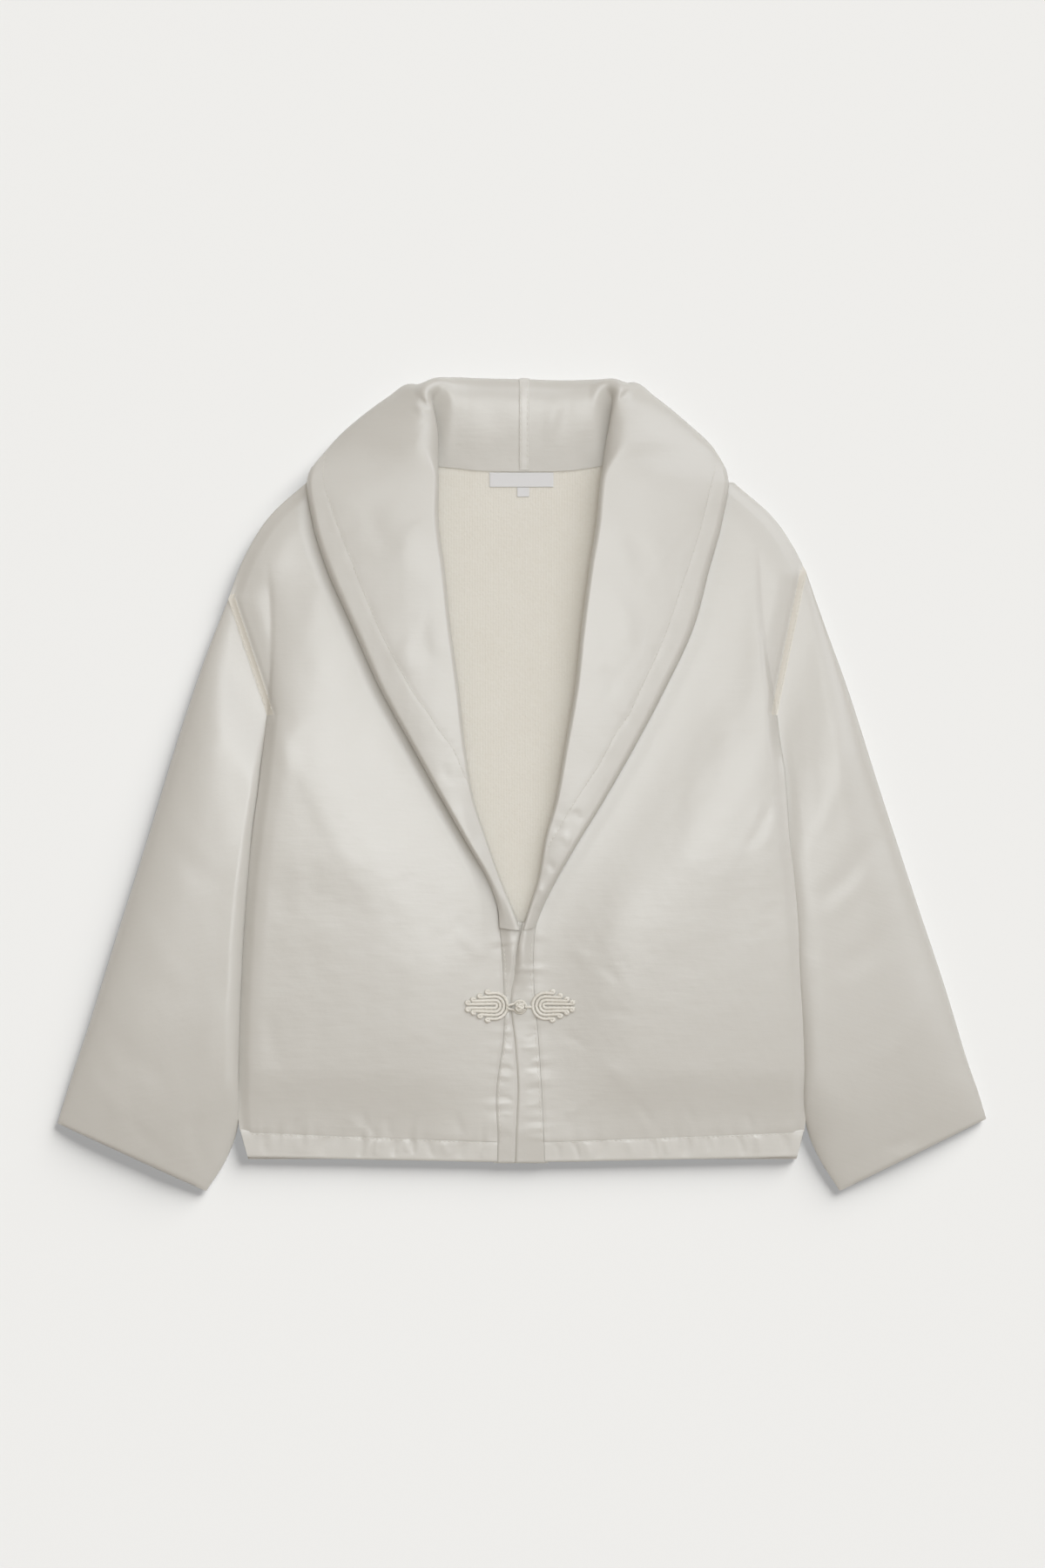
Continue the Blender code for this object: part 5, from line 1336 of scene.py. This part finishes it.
seat = FRONT_BASE + FLAT_WALL + KNOT_CLEAR
knot_middle = np.array([*KNOT_CENTRE, seat + KNOT_FLATTEN * KNOT_RADIUS])
t = np.linspace(0.0, 2.0 * math.pi * KNOT_LEADS, KNOT_POINTS)
lead = KNOT_BIGHTS / KNOT_LEADS
lift = KNOT_TILT * np.cos(lead * t)
weave = (KNOT_RADIUS - 0.5 * CORD_DIAMETER) * (1.0 + KNOT_WEAVE * np.sin(2.0 * lead * t))
around = weave * np.cos(lift)
knot_path = knot_middle + np.stack([weave * np.sin(lift), around * np.cos(t),
                                    KNOT_FLATTEN * around * np.sin(t)], -1)
core = bmesh.new()
bmesh.ops.create_icosphere(core, subdivisions=3, radius=KNOT_CORE)
core_points = np.array([v.co for v in core.verts]) + knot_middle
core_faces = [tuple(v.index for v in f.verts) for f in core.faces]
core.free()
wound = cord_parts(knot_path, CORD_DIAMETER, True)
knot = cloth("frog_knot_cord", *joined([wound, (core_points, core_faces)]), cord_satin, CORD_CREASE)
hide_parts("frog_knot")

radius = KNOT_RADIUS + 0.5 * CORD_DIAMETER + LOOP_CLEAR
turns = np.radians(np.linspace(LOOP_OPEN, -LOOP_OPEN, LOOP_POINTS))
loop_path = np.stack([KNOT_CENTRE[0] + radius * np.cos(turns), KNOT_CENTRE[1] + radius * np.sin(turns),
                      np.full(LOOP_POINTS, seat + 0.5 * CORD_DIAMETER)], -1)
root = np.array([-PAD_END["right"] - CORD_DIAMETER, KNOT_CENTRE[1], seat + CORD_DIAMETER])
apart = np.array([0.0, LOOP_HALF_GAP, 0.0])
loop_path = np.concatenate([[root + apart], loop_path, [root - apart]])
loop = cloth("frog_loop_cord", *cord_parts(loop_path, CORD_DIAMETER), cord_satin, CORD_CREASE)
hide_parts("frog_loop")

stem_z = seat + 1.5 * CORD_DIAMETER + STEM_SINK
stem_path = np.array([(KNOT_CENTRE[0] + KNOT_RADIUS - STEM_SINK, KNOT_CENTRE[1], stem_z),
                      (PAD_END["left"] + STEM_REACH, KNOT_CENTRE[1], stem_z + STEM_SINK)])
stem = cloth("frog_stem_cord", *cord_parts(stem_path, CORD_DIAMETER), cord_satin, CORD_CREASE)
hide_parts("frog_stem")

# Sewing: lines of silk thread stitched along the collar's edge, the hem, the front bands, the tape
# and the armholes, sunk into the satin.
STITCH_LENGTH = 3.0
STITCH_GAP = 1.3
STITCH_WIDTH = 0.55
STITCH_LIE = 0.15
STITCH_PLACES = (0.0, 0.15, 0.5, 0.85, 1.0)
STITCH_THICK = (0.25, 0.85, 1.0, 0.85, 0.25)
STITCH_ARCH = (-0.3, 0.0, 0.12, 0.0, -0.3)
STITCH_SIDES = 6
ARMHOLE_STITCHES = (1.4, 6.2)
HEM_STITCH_IN = 1.6
BAND_STITCH_IN = 2.4
TAPE_STITCH_OFF = 3.2
TAPE_STITCH_POINTS = 30
TAPE_ROWS_LEFT = 6
COLLAR_STITCH_POINTS = 60
THREAD = (0.720, 0.700, 0.650, 1.0)
THREAD_SHADE = (0.640, 0.615, 0.560, 1.0)
thread, shader, start, place = new_finish("silk thread")
fibres = start.noise(place, 1500.0, 2.0)
start.tint(fibres, THREAD_SHADE, THREAD).into(shader, "Base Color")
(0.4 + fibres * 0.15).into(shader, "Roughness")


def stitch_parts(start, end, width):
    """One stitch: a short rounded stretch of thread, thin and sunk at its ends."""
    run = end - start
    ahead = run / np.linalg.norm(run)
    side_way = np.cross(ahead, [0.0, 0.0, 1.0])
    side_way /= np.linalg.norm(side_way)
    up_way = np.cross(side_way, ahead)
    t = np.array(STITCH_PLACES)[:, None, None]
    radius = 0.5 * width * np.array(STITCH_THICK)[:, None, None]
    turns = np.linspace(0.0, 2.0 * math.pi, STITCH_SIDES, endpoint=False)[None, :, None]
    points = start + t * run + radius * (np.cos(turns) * side_way + np.sin(turns) * up_way)
    points[..., 2] += (np.array(STITCH_ARCH) * width)[:, None]
    rings = len(STITCH_PLACES)
    ends = np.arange(rings * STITCH_SIDES).reshape(rings, STITCH_SIDES).tolist()
    faces = grid_faces(rings, STITCH_SIDES, 0, True) + [tuple(ends[0][::-1]), tuple(ends[-1])]
    return points.reshape(-1, 3), faces


def sewn(name, lines, pieces):
    """Stitches along plan lines, lying on the topmost of some pieces."""
    ground = ground_under(pieces)
    parts = []
    for line in lines:
        plan = evenly(line, STITCH_LENGTH + STITCH_GAP)[0]
        for here, following in zip(plan, plan[1:]):
            there = here + (following - here) * STITCH_LENGTH / (STITCH_LENGTH + STITCH_GAP)
            ends = [np.array([*at, ground(*at) + STITCH_LIE * STITCH_WIDTH]) for at in (here, there)]
            parts.append(stitch_parts(*ends, STITCH_WIDTH))
    stitches = cloth(name, *joined(parts), thread, CORD_CREASE)


for side in SIDES:
    collar_line = resample(COLLAR_STITCH[side], COLLAR_STITCH_POINTS)
    sewn("collar_stitches_" + side, [signed(collar_line, side)], [collars[side]])
    armhole = resample(shoulder_points(ARMHOLE, side), SEAM_STEPS)[1:-1]
    armhole_lines = [signed(armhole - [inset, 0.0], side) for inset in ARMHOLE_STITCHES]
    sewn("armhole_stitches_" + side, armhole_lines, [fronts[side]])
    hem = front_hem_line(side)[1:-1] - [0.0, HEM_STITCH_IN]
    band = band_seam_line(side)[:-2] - [BAND_STITCH_IN, 0.0]
    sewn("front_stitches_" + side, [signed(hem, side), signed(band, side)],
         [fronts[side], bands[side], hem_bands[side]])
tape_y = np.linspace(line[0, 1] + 1.0, line[-TAPE_ROWS_LEFT, 1], TAPE_STITCH_POINTS)
tape_lines = [np.stack([np.full(TAPE_STITCH_POINTS, TAPE_X + off), tape_y], -1)
              for off in (-TAPE_STITCH_OFF, TAPE_STITCH_OFF)]
sewn("tape_stitches", tape_lines, [collar_tape])

# Floor, light and camera: the jacket lies face up on a plain pale surface, seen straight from above,
# in soft studio light from the upper right with a warm fill all round. The floor has lamps of its own.
CAMERA_HEIGHT = 3.4
CAMERA_PLACE = (0.0006, 0.0009)
LENS = 85.0
FLOOR_SIZE = 60.0
FLOOR_SINK = 0.0002
FLOOR_GREY = (0.33, 0.33, 0.33, 1.0)
KEY_TURN = math.radians(50.0)
KEY_HEIGHT = math.radians(47.0)
KEY_STRENGTH = 1.24
KEY_SPREAD = math.radians(55.0)
KEY_COLOUR = (0.93, 0.99, 1.07)
SOFT_STRENGTH = 0.78
SOFT_SPREAD = math.radians(160.0)
SOFT_COLOUR = (1.0, 0.985, 0.955)
GLOW_PLACE = (0.05, 0.10, 1.5)
GLOW_RADIUS = 0.35
GLOW_POWER = 6.0
GLOW_COLOUR = (0.94, 0.98, 1.0)
LOW_KEY_TURN = math.radians(52.0)
LOW_KEY_HEIGHT = math.radians(25.0)
LOW_KEY_STRENGTH = 11.25
LOW_KEY_SPREAD = math.radians(38.0)
LOW_KEY_COLOUR = (1.0, 0.991, 0.960)
EVEN_STRENGTH = 2.75
EVEN_COLOUR = (1.0, 1.03, 1.06)
FILL_LOW = 0.14
FILL_HIGH = 0.22
FILL_COLOUR = (1.0, 0.79, 0.58)
floor_mesh = bpy.data.meshes.new("floor")
half = 0.5 * FLOOR_SIZE
corners = [(-half, -half), (half, -half), (half, half), (-half, half)]
floor_mesh.from_pydata([(*corner, -FLOOR_SINK) for corner in corners], [], [(0, 1, 2, 3)])
floor = bpy.data.objects.new("floor", floor_mesh)
bpy.context.collection.objects.link(floor)
paper = bpy.data.materials.new("pale surface")
paper.use_nodes = True
shader = paper.node_tree.nodes["Principled BSDF"]
shader.inputs["Base Color"].default_value = FLOOR_GREY
shader.inputs["Roughness"].default_value = 0.9
shader.inputs["Specular IOR Level"].default_value = 0.1
floor_mesh.materials.append(paper)

scene = bpy.context.scene
garment = bpy.data.collections.new("garment")
surface = bpy.data.collections.new("surface")
surface.objects.link(floor)
for piece in bpy.data.objects:
    if piece.type == "MESH" and piece is not floor:
        garment.objects.link(piece)


def light_from(turn, height):
    flat = math.cos(height)
    return Vector((math.cos(turn) * flat, math.sin(turn) * flat, math.sin(height)))


def lamp(name, kind, energy, colour, lit):
    """A lamp that lights one collection."""
    data = bpy.data.lights.new(name, kind)
    data.energy = energy
    data.color = colour
    holder = bpy.data.objects.new(name, data)
    holder.light_linking.receiver_collection = lit
    scene.collection.objects.link(holder)
    return holder


towards = light_from(KEY_TURN, KEY_HEIGHT)
key = lamp("key light", "SUN", KEY_STRENGTH, KEY_COLOUR, garment)
key.data.angle = KEY_SPREAD
key.rotation_euler = towards.to_track_quat("Z", "Y").to_euler()
low_key = lamp("low key light", "SUN", LOW_KEY_STRENGTH, LOW_KEY_COLOUR, surface)
low_key.data.angle = LOW_KEY_SPREAD
low_key.rotation_euler = light_from(LOW_KEY_TURN, LOW_KEY_HEIGHT).to_track_quat("Z", "Y").to_euler()
even = lamp("even floor light", "SUN", EVEN_STRENGTH, EVEN_COLOUR, surface)
even.data.use_shadow = False
soft = lamp("soft top light", "SUN", SOFT_STRENGTH, SOFT_COLOUR, garment)
soft.data.angle = SOFT_SPREAD
overhead = lamp("overhead glow", "AREA", GLOW_POWER, GLOW_COLOUR, garment)
overhead.data.shape = "DISK"
overhead.data.size = 2.0 * GLOW_RADIUS
overhead.location = GLOW_PLACE

world = bpy.data.worlds.new("studio")
world.use_nodes = True
scene.world = world
start = Wire(world.node_tree)
way = start.node("ShaderNodeTexCoord", {}, {}, "Generated")
facing = start.node("ShaderNodeVectorMath", {"operation": "DOT_PRODUCT"}, {0: way, 1: tuple(towards)}, 1)
glow = FILL_LOW + (FILL_HIGH - FILL_LOW) * (facing * 0.5 + 0.5)
glow.into(world.node_tree.nodes["Background"], "Strength")
world.node_tree.nodes["Background"].inputs["Color"].default_value = (*FILL_COLOUR, 1.0)

camera = bpy.data.objects.new("camera", bpy.data.cameras.new("camera"))
camera.location = (*CAMERA_PLACE, CAMERA_HEIGHT)
camera.data.lens = LENS
scene.collection.objects.link(camera)
scene.camera = camera
scene.view_settings.view_transform = "Standard"
